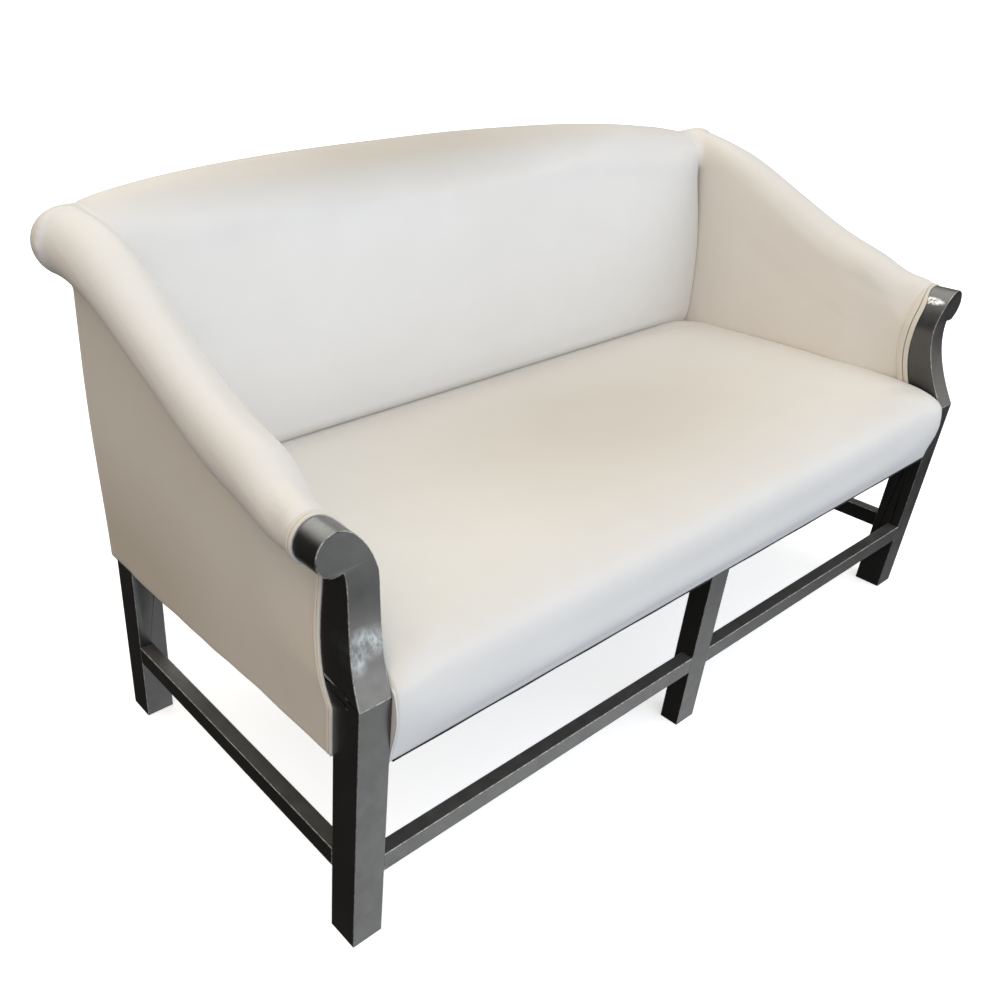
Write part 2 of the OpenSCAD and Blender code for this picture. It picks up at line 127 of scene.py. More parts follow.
def post_out(z):  # outer contour of the front posts, u at height z, for z up to the notch under the scroll
    return np.where(np.asarray(z) < 423, 0.0, np.interp(z, OUTER[:, 1], OUTER[:, 0]))


def post_in(z):
    return np.where(np.asarray(z) < 423, 50.0, np.interp(z, INNER[:, 1], INNER[:, 0]))


def post_rear(z):
    z = np.asarray(z, float)
    return np.where(z <= 395, 50.0, np.where(z >= 545, 95.0, 50 + 45 * (1 - ((545 - z) / 150) ** 2)))


def flat_in(y):  # the roll is a little flatter on its inner side near the back
    return 6.0 * smoothstep(560, 640, y)


def wall_u(y, z):  # inner face of the arm behind its front end
    top = au(y) + ar(y) - flat_in(y)
    low = 60 + 11 * np.clip((y - 97) / 120, 0, 1) - 5 * smoothstep(520, 620, y)
    t = np.clip((az(y) - z) / (az(y) - 405), 0, 1)
    return top + (low - top) * t + 6 * np.sin(np.pi * t) * np.clip((y - 97) / 120, 0, 1) * (1 - smoothstep(480, 600, y))


def front_w(y):  # 0 where the arm follows the post's outline, 1 where it has its own section
    return smoothstep(97, 215, y)


def arm_in(y, z):
    w = front_w(y)
    return (1 - w) * post_in(np.minimum(z, 568)) + w * wall_u(y, z)


rake = lambda z: 13 * smoothstep(316, 640, z)  # the outside back leans this far back above its lower edge
arch = lambda x: 901 - 45 * (0.09 * (x / 718) ** 2 + 0.91 * (x / 718) ** 4)
roll_z = lambda x: arch(x) - 46
roll_y = lambda x: 673 + 0.148 * (roll_z(x) - 811)

SEAT = np.array([[1, 315], [-5, 335], [-10, 362], [-13.5, 392], [-12, 418], [-5, 440], [10, 455], [40, 463.5],
                 [84, 468], [160, 471], [260, 472], [380, 470], [480, 466.5], [550, 463], [590, 458]], float)
# the same section at the seat's ends, where it is drawn down to the posts' kink
SEAT_END = np.array([[1, 315], [0, 325], [-2, 340], [-5, 354], [-7.5, 368], [-9, 385], [-8.6, 396], [-7, 406], [-4.5, 418], [-1.5, 427],
                     [4, 432.5], [12, 436.8], [24, 441], [50, 449.3], [69, 453.5], [97, 457.5], [140, 462], [200, 465.5], [280, 468],
                     [380, 467], [480, 464], [550, 460.5], [590, 455.5]], float)


# ------------------------------------------------------------------ mesh helpers
def resample(p, n):
    """Smooth Catmull-Rom curve through p, n points evenly spaced along it."""
    p = np.asarray(p, float)
    q = np.vstack([2 * p[0] - p[1], p, 2 * p[-1] - p[-2]])
    out = []
    for i in range(1, len(q) - 2):
        t = np.linspace(0, 1, 24, endpoint=False)[:, None]
        a, b, c, d = q[i - 1], q[i], q[i + 1], q[i + 2]
        out.append(0.5 * (2 * b + (c - a) * t + (2 * a - 5 * b + 4 * c - d) * t**2 + (3 * b - a - 3 * c + d) * t**3))
    out = np.vstack(out + [p[-1:]])
    s = np.concatenate([[0], np.cumsum(np.linalg.norm(np.diff(out, axis=0), axis=1))])
    k = np.linspace(0, s[-1], n)
    return np.stack([np.interp(k, s, out[:, j]) for j in range(out.shape[1])], 1)


def even(p, n):
    """The polyline p, n points evenly spaced along it."""
    p = np.asarray(p, float)
    s = np.concatenate([[0], np.cumsum(np.linalg.norm(np.diff(p, axis=0), axis=1))])
    k = np.linspace(0, s[-1], n)
    return np.stack([np.interp(k, s, p[:, j]) for j in range(p.shape[1])], 1)


def obj_from(name, verts, faces, smooth=True):
    me = bpy.data.meshes.new(name)
    me.from_pydata([tuple(v) for v in world(verts)], [], [tuple(int(i) for i in f) for f in faces])
    me.update()
    bm = bmesh.new()
    bm.from_mesh(me)
    bmesh.ops.recalc_face_normals(bm, faces=bm.faces)
    bm.to_mesh(me)
    bm.free()
    if smooth:
        me.polygons.foreach_set("use_smooth", [True] * len(me.polygons))
    ob = bpy.data.objects.new(name, me)
    scene.collection.objects.link(ob)
    return ob


def grid_faces(m, n, wrap=False, base=0):
    f = []
    cols = n if wrap else n - 1
    for i in range(m - 1):
        for j in range(cols):
            k = (j + 1) % n
            f.append((base + i * n + j, base + i * n + k, base + (i + 1) * n + k, base + (i + 1) * n + j))
    return f


def tube_rings(name, rings):
    """Closed body through closed rings (m, n, 3), its ends closed by one face each."""
    rings = np.asarray(rings, float)
    m, n, _ = rings.shape
    f = grid_faces(m, n, wrap=True)
    f.append(tuple(range(n)))
    f.append(tuple((m - 1) * n + j for j in range(n - 1, -1, -1)))
    return obj_from(name, rings.reshape(-1, 3), f)


def slab(name, top, bottom):
    """Closed body between two matching grids (m, n, 3)."""
    top, bottom = np.asarray(top, float), np.asarray(bottom, float)
    m, n, _ = top.shape
    v = np.vstack([top.reshape(-1, 3), bottom.reshape(-1, 3)])
    f = grid_faces(m, n) + grid_faces(m, n, base=m * n)
    edge = ([(0, j) for j in range(n)] + [(i, n - 1) for i in range(1, m)]
            + [(m - 1, j) for j in range(n - 2, -1, -1)] + [(i, 0) for i in range(m - 2, 0, -1)])
    ids = [i * n + j for i, j in edge]
    for a, b in zip(ids, ids[1:] + ids[:1]):
        f.append((a, b, b + m * n, a + m * n))
    return obj_from(name, v, f)


def apply_mods(ob):
    dg = bpy.context.evaluated_depsgraph_get()
    dg.update()
    me = bpy.data.meshes.new_from_object(ob.evaluated_get(dg))
    ob.modifiers.clear()
    old = ob.data
    ob.data = me
    bpy.data.meshes.remove(old)
    me.polygons.foreach_set("use_smooth", [True] * len(me.polygons))
    return ob


def coords(ob):
    c = np.empty(len(ob.data.vertices) * 3)
    ob.data.vertices.foreach_get("co", c)
    return c.reshape(-1, 3)


def set_coords(ob, c):
    ob.data.vertices.foreach_set("co", np.ascontiguousarray(c, float).ravel())
    ob.data.update()


def subdivide(ob, levels=1):
    m = ob.modifiers.new("Subdivision", "SUBSURF")
    m.levels = m.render_levels = levels
    m.quality = 2
    return ob


def neighbours(ob):
    e = np.empty(len(ob.data.edges) * 2, int)
    ob.data.edges.foreach_get("vertices", e)
    return e.reshape(-1, 2)


def relax(ob, c, free, times, keep=False):
    """Smooths the free points; with keep, every second step swells back so that the shape doesn't shrink."""
    e = neighbours(ob)
    n = len(c)
    for i in range(times):
        s = np.zeros((n, 3))
        k = np.zeros(n)
        np.add.at(s, e[:, 0], c[e[:, 1]]); np.add.at(s, e[:, 1], c[e[:, 0]])
        np.add.at(k, e[:, 0], 1); np.add.at(k, e[:, 1], 1)
        c = c + (-0.52 if keep and i % 2 else 0.5) * free[:, None] * (s / np.maximum(k, 1)[:, None] - c)
    return c


def cloth(ob, free, pressure=4.0, frames=20, cap=0.006, tight=18.0, mass=0.35):
    """Swells a padded piece: free is 0 where the leather is held and 1 where it may move; cap in metres."""
    rest = coords(ob)
    g = ob.vertex_groups.new(name="held")
    held = np.clip(1 - free, 0, 1)
    for w in np.unique(np.round(held, 1)):
        if w > 0:
            g.add([int(i) for i in np.nonzero(np.abs(held - w) < 0.0501)[0]], float(w), "REPLACE")
    m = ob.modifiers.new("Cloth", "CLOTH")
    s = m.settings
    s.quality = 5
    s.mass = mass
    s.tension_stiffness = s.compression_stiffness = tight
    s.shear_stiffness = tight * 0.5
    s.bending_stiffness = 2.0
    s.tension_damping = s.compression_damping = 12
    s.vertex_group_mass = "held"
    s.use_pressure = True
    s.uniform_pressure_force = pressure
    s.effector_weights.gravity = 0
    m.collision_settings.use_collision = False
    m.point_cache.frame_start, m.point_cache.frame_end = 1, frames
    for f in range(1, frames + 1):
        scene.frame_set(f)
    dg = bpy.context.evaluated_depsgraph_get()
    me = ob.evaluated_get(dg).to_mesh()
    c = np.empty(len(me.vertices) * 3)
    me.vertices.foreach_get("co", c)
    ob.evaluated_get(dg).to_mesh_clear()
    c = c.reshape(-1, 3)
    ob.modifiers.remove(m)
    ob.vertex_groups.clear()
    scene.frame_set(1)
    d = (c - rest) * free[:, None]
    length = np.linalg.norm(d, axis=1)
    d *= (cap * np.tanh(length / cap) / np.maximum(length, 1e-9))[:, None]
    set_coords(ob, relax(ob, rest + d, free, 2))
    print("cloth", ob.name, len(c), "points, moved up to", round(float(np.linalg.norm(d, axis=1).max()) * 1000, 1), "mm")
    return ob


def mirrored(ob, name):
    me = ob.data.copy()
    me.name = name
    o = bpy.data.objects.new(name, me)
    scene.collection.objects.link(o)
    c = coords(o)
    c[:, 0] *= -1
    set_coords(o, c)
    me.flip_normals()
    for m in ob.modifiers:
        if m.type == "SUBSURF":
            subdivide(o, m.levels)
    return o


def settle(ob):
    """The upholstered top sits a few millimetres higher at its left corner than at its right one, as in the photo."""
    c = coords(ob)
    x, y, z = c[:, 0] * 1000, (c[:, 1] - FY) * 1000, c[:, 2] * 1000
    c[:, 2] += hermite(LIFT_X, LIFT_Z, x) * smoothstep(640, 800, z) * smoothstep(430, 640, y) / 1000
    set_coords(ob, c)
    return ob


LIFT_X = [-790, -756, -715, -640, -450, -200, 0, 190, 426, 562, 650, 720, 760, 790]
LIFT_Z = [4, 7, 15, 16, 12, 10.5, 10.5, 6.5, -0.5, -3, -1.5, -1, -5.5, -6.5]


def wobble(p, scale, seed=0.0):
    """A smooth repeatable pattern of hills and dips over points p (mm), about -1 to 1."""
    p = np.asarray(p, float) / scale
    r = np.zeros(len(p))
    for k, (a, b, c, ph) in enumerate([(1.0, 0.6, 0.3, 0.3), (-0.7, 1.1, 0.5, 2.1), (0.4, -0.8, 1.2, 4.0), (1.3, 0.9, -0.9, 5.2), (0.8, -1.4, 0.7, 1.1)]):
        r += np.sin(a * p[:, 0] + b * p[:, 1] + c * p[:, 2] + ph + seed * (k + 1.7))
    return r / 3.2


# ------------------------------------------------------------------ materials
class Mat:
    def __init__(self, name):
        self.m = bpy.data.materials.new(name)
        self.m.use_nodes = True
        self.t = self.m.node_tree
        self.b = self.t.nodes["Principled BSDF"]
        self.co = self.t.nodes.new("ShaderNodeTexCoord").outputs["Object"]

    def node(self, kind, **kw):
        n = self.t.nodes.new(kind)
        for k, v in kw.items():
            if k.startswith("i_"):
                n.inputs[k[2:].replace("_", " ")].default_value = v
            else:
                setattr(n, k, v)
        return n

    def link(self, a, b):
        self.t.links.new(a, b)

    def scaled(self, s):
        n = self.node("ShaderNodeMapping")
        n.inputs["Scale"].default_value = s
        self.link(self.co, n.inputs["Vector"])
        return n.outputs["Vector"]

    def noise(self, scale, detail=3, rough=0.5, distortion=0.0, co=None):
        n = self.node("ShaderNodeTexNoise")
        n.inputs["Scale"].default_value = scale
        n.inputs["Detail"].default_value = detail
        n.inputs["Roughness"].default_value = rough
        n.inputs["Distortion"].default_value = distortion
        self.link(co or self.co, n.inputs["Vector"])
        return n.outputs["Fac"]

    def voronoi(self, scale, feature="F1", co=None):
        n = self.node("ShaderNodeTexVoronoi", feature=feature)
        n.inputs["Scale"].default_value = scale
        self.link(co or self.co, n.inputs["Vector"])
        return n.outputs["Distance"]

    def ramp(self, fac, stops):
        n = self.node("ShaderNodeValToRGB")
        e = n.color_ramp.elements
        while len(e) < len(stops):
            e.new(0.5)
        for el, (p, c) in zip(e, stops):
            el.position = p
            el.color = tuple(c) + (1,) if len(c) == 3 else c
        self.link(fac, n.inputs["Fac"])
        return n.outputs["Color"]

    def map(self, v, a, b, c, d):
        n = self.node("ShaderNodeMapRange")
        for k, x in zip(("From Min", "From Max", "To Min", "To Max"), (a, b, c, d)):
            n.inputs[k].default_value = x
        self.link(v, n.inputs["Value"])
        return n.outputs["Result"]

    def math(self, op, a, b=None):
        n = self.node("ShaderNodeMath", operation=op)
        for i, x in enumerate((a, b)):
            if x is None:
                continue
            if isinstance(x, (int, float)):
                n.inputs[i].default_value = x
            else:
                self.link(x, n.inputs[i])
        return n.outputs[0]

    def mix(self, fac, a, b, blend="MIX"):
        n = self.node("ShaderNodeMix", data_type="RGBA", blend_type=blend)
        ins = [i for i in n.inputs if i.enabled]
        for i, x in zip((n.inputs[0], n.inputs[6], n.inputs[7]), (fac, a, b)):
            if isinstance(x, (int, float)):
                i.default_value = x
            elif isinstance(x, (tuple, list)):
                i.default_value = tuple(x) + (1,) if len(x) == 3 else x
            else:
                self.link(x, i)
        return n.outputs[2]

    def bump(self, height, strength, distance, after=None):
        n = self.node("ShaderNodeBump")
        n.inputs["Strength"].default_value = strength
        n.inputs["Distance"].default_value = distance
        self.link(height, n.inputs["Height"])
        if after is not None:
            self.link(after, n.inputs["Normal"])
        return n.outputs["Normal"]

    def set(self, **kw):
        for k, v in kw.items():
            i = self.b.inputs[k.replace("_", " ")]
            if hasattr(v, "links") or isinstance(v, bpy.types.NodeSocket):
                self.link(v, i)
            else:
                i.default_value = v
        return self

    def near(self, centre, size):
        """1 at a point in the row frame and 0 beyond size (three half-axes, metres) from it."""
        n = self.node("ShaderNodeMapping", vector_type="TEXTURE")
        n.inputs["Location"].default_value = centre
        n.inputs["Scale"].default_value = size
        self.link(self.co, n.inputs["Vector"])
        g = self.node("ShaderNodeTexGradient", gradient_type="SPHERICAL")
        self.link(n.outputs["Vector"], g.inputs["Vector"])
        return g.outputs["Fac"]


def leather_material(name, a, b, rough=0.46, painted_shade_spots=()):
    """Cream leather with pores and grain. The last argument lists places (centre, half-axes, amount) where painted
    shade darkens the colour, standing in for less light falling there.
    """
    m = Mat(name)
    tone = m.noise(2.3, 4, 0.55)
    cloud = m.noise(11, 3, 0.6)
    fac = m.math("ADD", m.math("MULTIPLY", tone, 0.7), m.math("MULTIPLY", cloud, 0.3))
    colour = m.mix(m.map(fac, 0.35, 0.65, 0, 1), a, b)
    pores = m.voronoi(780, "F1")
    colour = m.mix(m.map(pores, 0.0, 0.35, 0.12, 0.0), colour, tuple(x * 0.72 for x in a))
    # painted shade: each listed place is darkened towards a brown
    for centre, size, amount in painted_shade_spots:
        colour = m.mix(m.map(m.near(centre, size), 0.0, 0.75, 0.0, amount), colour, (0.50, 0.44, 0.35))
    cells = m.voronoi(520, "DISTANCE_TO_EDGE")
    grain = m.map(cells, 0.0, 0.12, 0.0, 1.0)
    n1 = m.bump(m.noise(34, 4, 0.55, 0.4), 0.06, 0.004)
    n2 = m.bump(grain, 0.055, 0.0004, n1)
    n3 = m.bump(m.noise(1500, 2, 0.6), 0.05, 0.0003, n2)
    m.set(Base_Color=colour, Normal=n3,
          Roughness=m.map(m.math("ADD", m.math("MULTIPLY", cloud, 0.6), m.math("MULTIPLY", grain, 0.4)), 0.2, 0.9, rough + 0.07, rough - 0.05))
    m.set(Specular_IOR_Level=0.30, Sheen_Weight=0.05, Sheen_Roughness=0.45)
    return m.m


# painted highlight on the right scroll, streaky like a smudge
SCROLL_HIGHLIGHT = (0.7265, -0.273, 0.619)  # a pale mark on the right scroll


def lacquer_material(name, dark, light, metal=0.55, rough=0.36, worn=False):
    """Graphite metallic lacquer: flake, faint brushing along the timber, cloudy rub marks."""
    m = Mat(name)
    flake = m.voronoi(2600, "F1")
    cloud = m.noise(7.5, 5, 0.62, 0.3)
    rub = m.noise(46, 4, 0.6)
    colour = m.mix(m.map(cloud, 0.32, 0.7, 0, 1), dark, light)
    colour = m.mix(m.map(flake, 0.0, 0.5, 0.16, 0.0), colour, tuple(min(1, x * 2.2) for x in light))
    fine = m.map(m.noise(900, 2, 0.5), 0.3, 0.7, 0, 1)
    rough_v = m.map(m.math("ADD", m.math("MULTIPLY", rub, 0.6), m.math("MULTIPLY", cloud, 0.4)), 0.3, 0.7, rough - 0.07, rough + 0.09)
    if worn:
        chip = m.map(m.noise(130, 4, 0.7), 0.44, 0.56, 0, 1)
        colour = m.mix(chip, colour, (0.50, 0.49, 0.46))
        rough_v = m.math("ADD", rough_v, 0.05)
        # the bevels at the mouths of the plug holes are painted near black: painted shade in the holes, where the edges
        # are not rubbed pale
        for x in (-0.762, 0.762):
            for q in ((-0.3323, 0.416), (-0.3308, 0.431)):
                colour = m.mix(m.map(m.near((x, q[0], q[1]), (0.012, 0.012, 0.012)), 0.1, 0.4, 0, 1), colour, (0.02, 0.02, 0.02))
    else:
        # rub marks where the photo shows them: the left post's face and the top of both scrolls
        spot = None
        for c, s, k in (((-0.728, -0.330, 0.490), (0.044, 0.06, 0.024), 1.0), ((-0.746, -0.337, 0.474), (0.018, 0.05, 0.020), 0.7),
                        ((-0.752, -0.275, 0.641), (0.026, 0.04, 0.016), 0.35)):
            v = m.math("MULTIPLY", m.map(m.near(c, s), 0.05, 0.60, 0, 1), k)
            spot = v if spot is None else m.math("MAXIMUM", spot, v)
        streak = m.noise(230, 4, 0.7, 0.2, m.scaled((1, 1, 0.3)))
        patch = m.math("ADD", m.math("MULTIPLY", m.noise(60, 4, 0.65), 0.5), m.math("MULTIPLY", streak, 0.5))
        spot = m.math("MULTIPLY", spot, m.map(patch, 0.40, 0.62, 0.1, 1))
        colour = m.mix(m.math("MULTIPLY", spot, 0.55), colour, (0.40, 0.45, 0.46))
        rough_v = m.math("SUBTRACT", rough_v, m.math("MULTIPLY", spot, 0.12))
        # painted highlight: a near-white streaky patch on the right scroll, where a light's reflection would be
        painted_highlight = m.math("MULTIPLY", m.map(m.near(SCROLL_HIGHLIGHT, (0.020, 0.030, 0.0075)), 0.05, 0.35, 0, 1),
                        m.map(m.noise(170, 3, 0.6, 0.3), 0.40, 0.55, 0, 1))
        colour = m.mix(m.math("MULTIPLY", painted_highlight, 0.9), colour, (0.80, 0.80, 0.78))
    n1 = m.bump(m.noise(60, 3, 0.5, 0, m.scaled((1, 1, 0.12))), 0.06, 0.0012)
    n2 = m.bump(fine, 0.07, 0.0002, n1)
    # upward faces are lightened, rougher and less metallic: a little dust, and painted light from above on the tops
    geo = m.node("ShaderNodeNewGeometry")
    sep = m.node("ShaderNodeSeparateXYZ")
    m.link(geo.outputs["Normal"], sep.inputs[0])
    dust = m.math("MULTIPLY", m.map(sep.outputs[2], 0.55, 0.98, 0.0, 0.30), m.map(m.noise(38, 4, 0.6), 0.3, 0.7, 0.6, 1.0))
    colour = m.mix(dust, colour, (0.34, 0.335, 0.31))
    m.set(Base_Color=colour, Roughness=m.math("ADD", rough_v, m.math("MULTIPLY", dust, 0.3)), Normal=n2)
    m.set(Metallic=m.math("SUBTRACT", metal, dust), Coat_Weight=0.08, Coat_Roughness=0.3)
    return m.m


def timber_material(name):
    m = Mat(name)
    co = m.scaled((2.2, 26, 26))
    rings = m.noise(3.0, 6, 0.62, 0.9, co)
    pores = m.noise(40, 3, 0.7, 0, m.scaled((6, 80, 80)))
    c = m.ramp(rings, [(0.3, (0.33, 0.21, 0.11)), (0.5, (0.50, 0.35, 0.20)), (0.7, (0.60, 0.44, 0.27))])
    c = m.mix(m.map(pores, 0.25, 0.5, 0.4, 0.0), c, (0.22, 0.13, 0.07))
    m.set(Base_Color=c, Roughness=m.map(rings, 0.3, 0.7, 0.7, 0.55), Normal=m.bump(pores, 0.25, 0.0006))
    return m.m


def steel_material(name):
    m = Mat(name)
    s = m.noise(220, 3, 0.6)
    m.set(Base_Color=m.mix(m.map(s, 0.3, 0.7, 0, 1), (0.20, 0.20, 0.21), (0.42, 0.42, 0.43)),
          Roughness=m.map(s, 0.3, 0.7, 0.32, 0.5), Normal=m.bump(s, 0.1, 0.0003))
    m.set(Metallic=0.9)
    return m.m


def weave_material(name, a, b, pitch, rough=0.85, sheen=0.1, bump=0.6):
    m = Mat(name)
    sep = m.node("ShaderNodeSeparateXYZ")
    m.link(m.co, sep.inputs[0])
    k = 2 * math.pi / pitch
    wx = m.math("SINE", m.math("MULTIPLY", sep.outputs[0], k))
    up = m.math("ADD", sep.outputs[1], sep.outputs[2])
    wy = m.math("SINE", m.math("MULTIPLY", up, k))
    w = m.math("MULTIPLY", wx, wy)
    slub = m.noise(90, 4, 0.6, 0, m.scaled((1, 6, 6)))
    c = m.mix(m.map(m.math("ADD", m.math("MULTIPLY", w, 0.25), slub), 0.3, 0.8, 0, 1), a, b)
    m.set(Base_Color=c, Roughness=m.map(slub, 0.3, 0.7, rough - 0.08, rough + 0.06), Normal=m.bump(w, bump, pitch * 0.3))
    m.set(Sheen_Weight=sheen)
    return m.m


# painted shade over the middle of the seat and along the top of the back's roll
CREAM = leather_material("cream_leather", (0.735, 0.702, 0.652), (0.765, 0.737, 0.688), painted_shade_spots=(
    ((0.03, -0.05, 0.47), (0.62, 0.30, 0.08), 0.50), ((-0.15, 0.335, 0.89), (0.66, 0.11, 0.09), 0.72)))
# the outside panels: the cream leather made darker as painted shade, with more painted shade low at the rear and at the
# front of the side panels
CREAM_OUT_PAINTED_SHADE = leather_material("cream_leather_outer_painted_shade", (0.675, 0.630, 0.566), (0.708, 0.664, 0.600), 0.5, painted_shade_spots=(
    ((-0.76, 0.22, 0.31), (0.15, 0.42, 0.24), 0.66), ((0.76, 0.22, 0.31), (0.15, 0.42, 0.24), 0.66),
    ((-0.76, -0.22, 0.40), (0.15, 0.16, 0.20), 0.26), ((0.76, -0.22, 0.40), (0.15, 0.16, 0.20), 0.26)))
# the welts: the cream leather made darker and warmer, as painted shade on the front-lit cords
WELT_PAINTED_SHADE = leather_material("cream_leather_welt_painted_shade", (0.690, 0.640, 0.560), (0.725, 0.680, 0.600), 0.5)
LACQUER = lacquer_material("graphite_lacquer", (0.088, 0.087, 0.085), (0.122, 0.121, 0.118), 0.88, 0.34)
WORN = lacquer_material("worn_edge", (0.17, 0.17, 0.168), (0.26, 0.26, 0.255), 0.55, 0.4, worn=True)
TIMBER = timber_material("beech_timber")
STEEL = steel_material("spring_steel")
BURLAP = weave_material("burlap_weave", (0.36, 0.27, 0.16), (0.52, 0.41, 0.26), 0.0024)
CAMBRIC = weave_material("black_cambric", (0.006, 0.006, 0.007), (0.018, 0.018, 0.019), 0.0011, 0.9, 0.05, 0.3)


def finish_piece(ob, material, slot, *nodes):
    ob.data.materials.clear()
    ob.data.materials.append(material)
    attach(ob, "root")
    if nodes:
        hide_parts(*nodes)
    return ob


# ------------------------------------------------------------------ CAD nodes that stay
SLOTS = {s["node"]: s["material_slot"] for s in frame["record"]["subparts"]}
def smooth_group():
    """Smooth shading everywhere except across edges of more than 24 degrees."""
    g = bpy.data.node_groups.new("smooth_by_angle", "GeometryNodeTree")
    g.interface.new_socket("Geometry", in_out="INPUT", socket_type="NodeSocketGeometry")
    g.interface.new_socket("Geometry", in_out="OUTPUT", socket_type="NodeSocketGeometry")
    i, o = g.nodes.new("NodeGroupInput"), g.nodes.new("NodeGroupOutput")
    face, edge = g.nodes.new("GeometryNodeSetShadeSmooth"), g.nodes.new("GeometryNodeSetShadeSmooth")
    face.domain, edge.domain = "FACE", "EDGE"
    angle, less = g.nodes.new("GeometryNodeInputMeshEdgeAngle"), g.nodes.new("FunctionNodeCompare")
    less.data_type, less.operation = "FLOAT", "LESS_THAN"
    less.inputs[1].default_value = math.radians(24)
    g.links.new(angle.outputs["Unsigned Angle"], less.inputs[0])
    g.links.new(i.outputs[0], face.inputs[0])
    g.links.new(face.outputs[0], edge.inputs[0])
    g.links.new(less.outputs[0], edge.inputs["Shade Smooth"])
    g.links.new(edge.outputs[0], o.inputs[0])
    return g


SMOOTH = smooth_group()
for n, o in NODES.items():
    kind = SLOTS.get(n)
    if kind == "show_frame":
        o.data.materials.clear()
        o.data.materials.append(LACQUER)
        o.data.materials.append(WORN)
        w = o.modifiers.new("Weld", "WELD")
        w.merge_threshold = 2e-6
        g = o.modifiers.new("Smooth", "NODES")
        g.node_group = SMOOTH
        if n != "post_plugs":
            b = o.modifiers.new("Bevel", "BEVEL")
            b.width = 0.0011
            b.segments = 2
            b.limit_method = "ANGLE"
            b.angle_limit = math.radians(24)
            b.material = 1
            b.harden_normals = True
            b.use_clamp_overlap = False
            b.miter_outer = "MITER_ARC"
    elif kind == "hardwood":
        o.data.materials.clear()
        o.data.materials.append(TIMBER)
    elif kind == "steel":
        o.data.materials.clear()
        o.data.materials.append(STEEL)


# ------------------------------------------------------------------ arms
def ring_front(nw, nr):
    """Outline of the arm where it meets the post: inner wall up, over the scroll, to the notch."""
    wall = even(np.vstack([[[50, 405]], INNER]), nw)
    a = np.radians(np.linspace(90, 279, 120))
    scroll = np.stack([SU + (SR + 0.7) * np.cos(a), SZ + (SR + 0.7) * np.sin(a)], 1)
    cap = CAP + np.array([0.4, 0.6])
    k = int(nr * 90 / 262)
    return wall, np.vstack([even(cap, k), even(scroll, nr - k + 1)[1:]])


def ring_mid(y, nw, nr, r=None):
    z = np.linspace(405, az(y), nw)
    wall = np.stack([wall_u(y, z), z], 1)
    a = np.radians(np.linspace(0, 268, nr))
    rr = ar(y) if r is None else r
    k = int(nr * 90 / 262)
    a = np.radians(np.concatenate([np.linspace(0, 90, k), np.linspace(90, 268, nr - k + 1)[1:]]))
    return wall, np.stack([au(y) + (rr - flat_in(y) * (a < np.pi / 2)) * np.cos(a), az(y) + rr * np.sin(a)], 1)


def arm_ring(y, nw=26, nr=60):
    w = float(front_w(y))
    wf, rf = ring_front(nw, nr)
    wm, rm = ring_mid(y, nw, nr)
    wall = (1 - w) * wf + w * wm
    roll = (1 - w) * rf + w * rm
    up = (1 - w) * 8.5 * float(smoothstep(98, 122, y))
    roll[:, 1] += up * smoothstep(598, 636, roll[:, 1])
    wall[:, 1] = np.linspace(405, roll[0, 1], nw) * (1 - (1 - w)) + (1 - w) * wf[:, 1]
    out = np.vstack([wall[:-1], roll])
    # inner side of the pad, hidden in the arm
    end = roll[-1]
    low = wall[0]
    back = np.array([[end[0] + 10, end[1] + 10], [min(end[0] + 24, wall[-6, 0] - 14), end[1] + 2], [low[0] - 13, 470], [low[0] - 13, 405]])
    return out, even(np.vstack([end, back]), 30)[1:-1]


def roll_section(F, T, R, B, n=14):
    """Closed outline through the front, top, rear and bottom points of a roll, each quarter a quarter ellipse."""
    a = np.linspace(0, np.pi / 2, n, endpoint=False)
    q1 = np.stack([T[0] - (T[0] - F[0]) * np.cos(a), F[1] + (T[1] - F[1]) * np.sin(a)], 1)
    q2 = np.stack([T[0] + (R[0] - T[0]) * np.sin(a), R[1] + (T[1] - R[1]) * np.cos(a)], 1)
    q3 = np.stack([B[0] + (R[0] - B[0]) * np.cos(a), R[1] - (R[1] - B[1]) * np.sin(a)], 1)
    q4 = np.stack([B[0] - (B[0] - F[0]) * np.sin(a), F[1] - (F[1] - B[1]) * np.cos(a)], 1)
    return np.vstack([q1, q2, q3, q4])


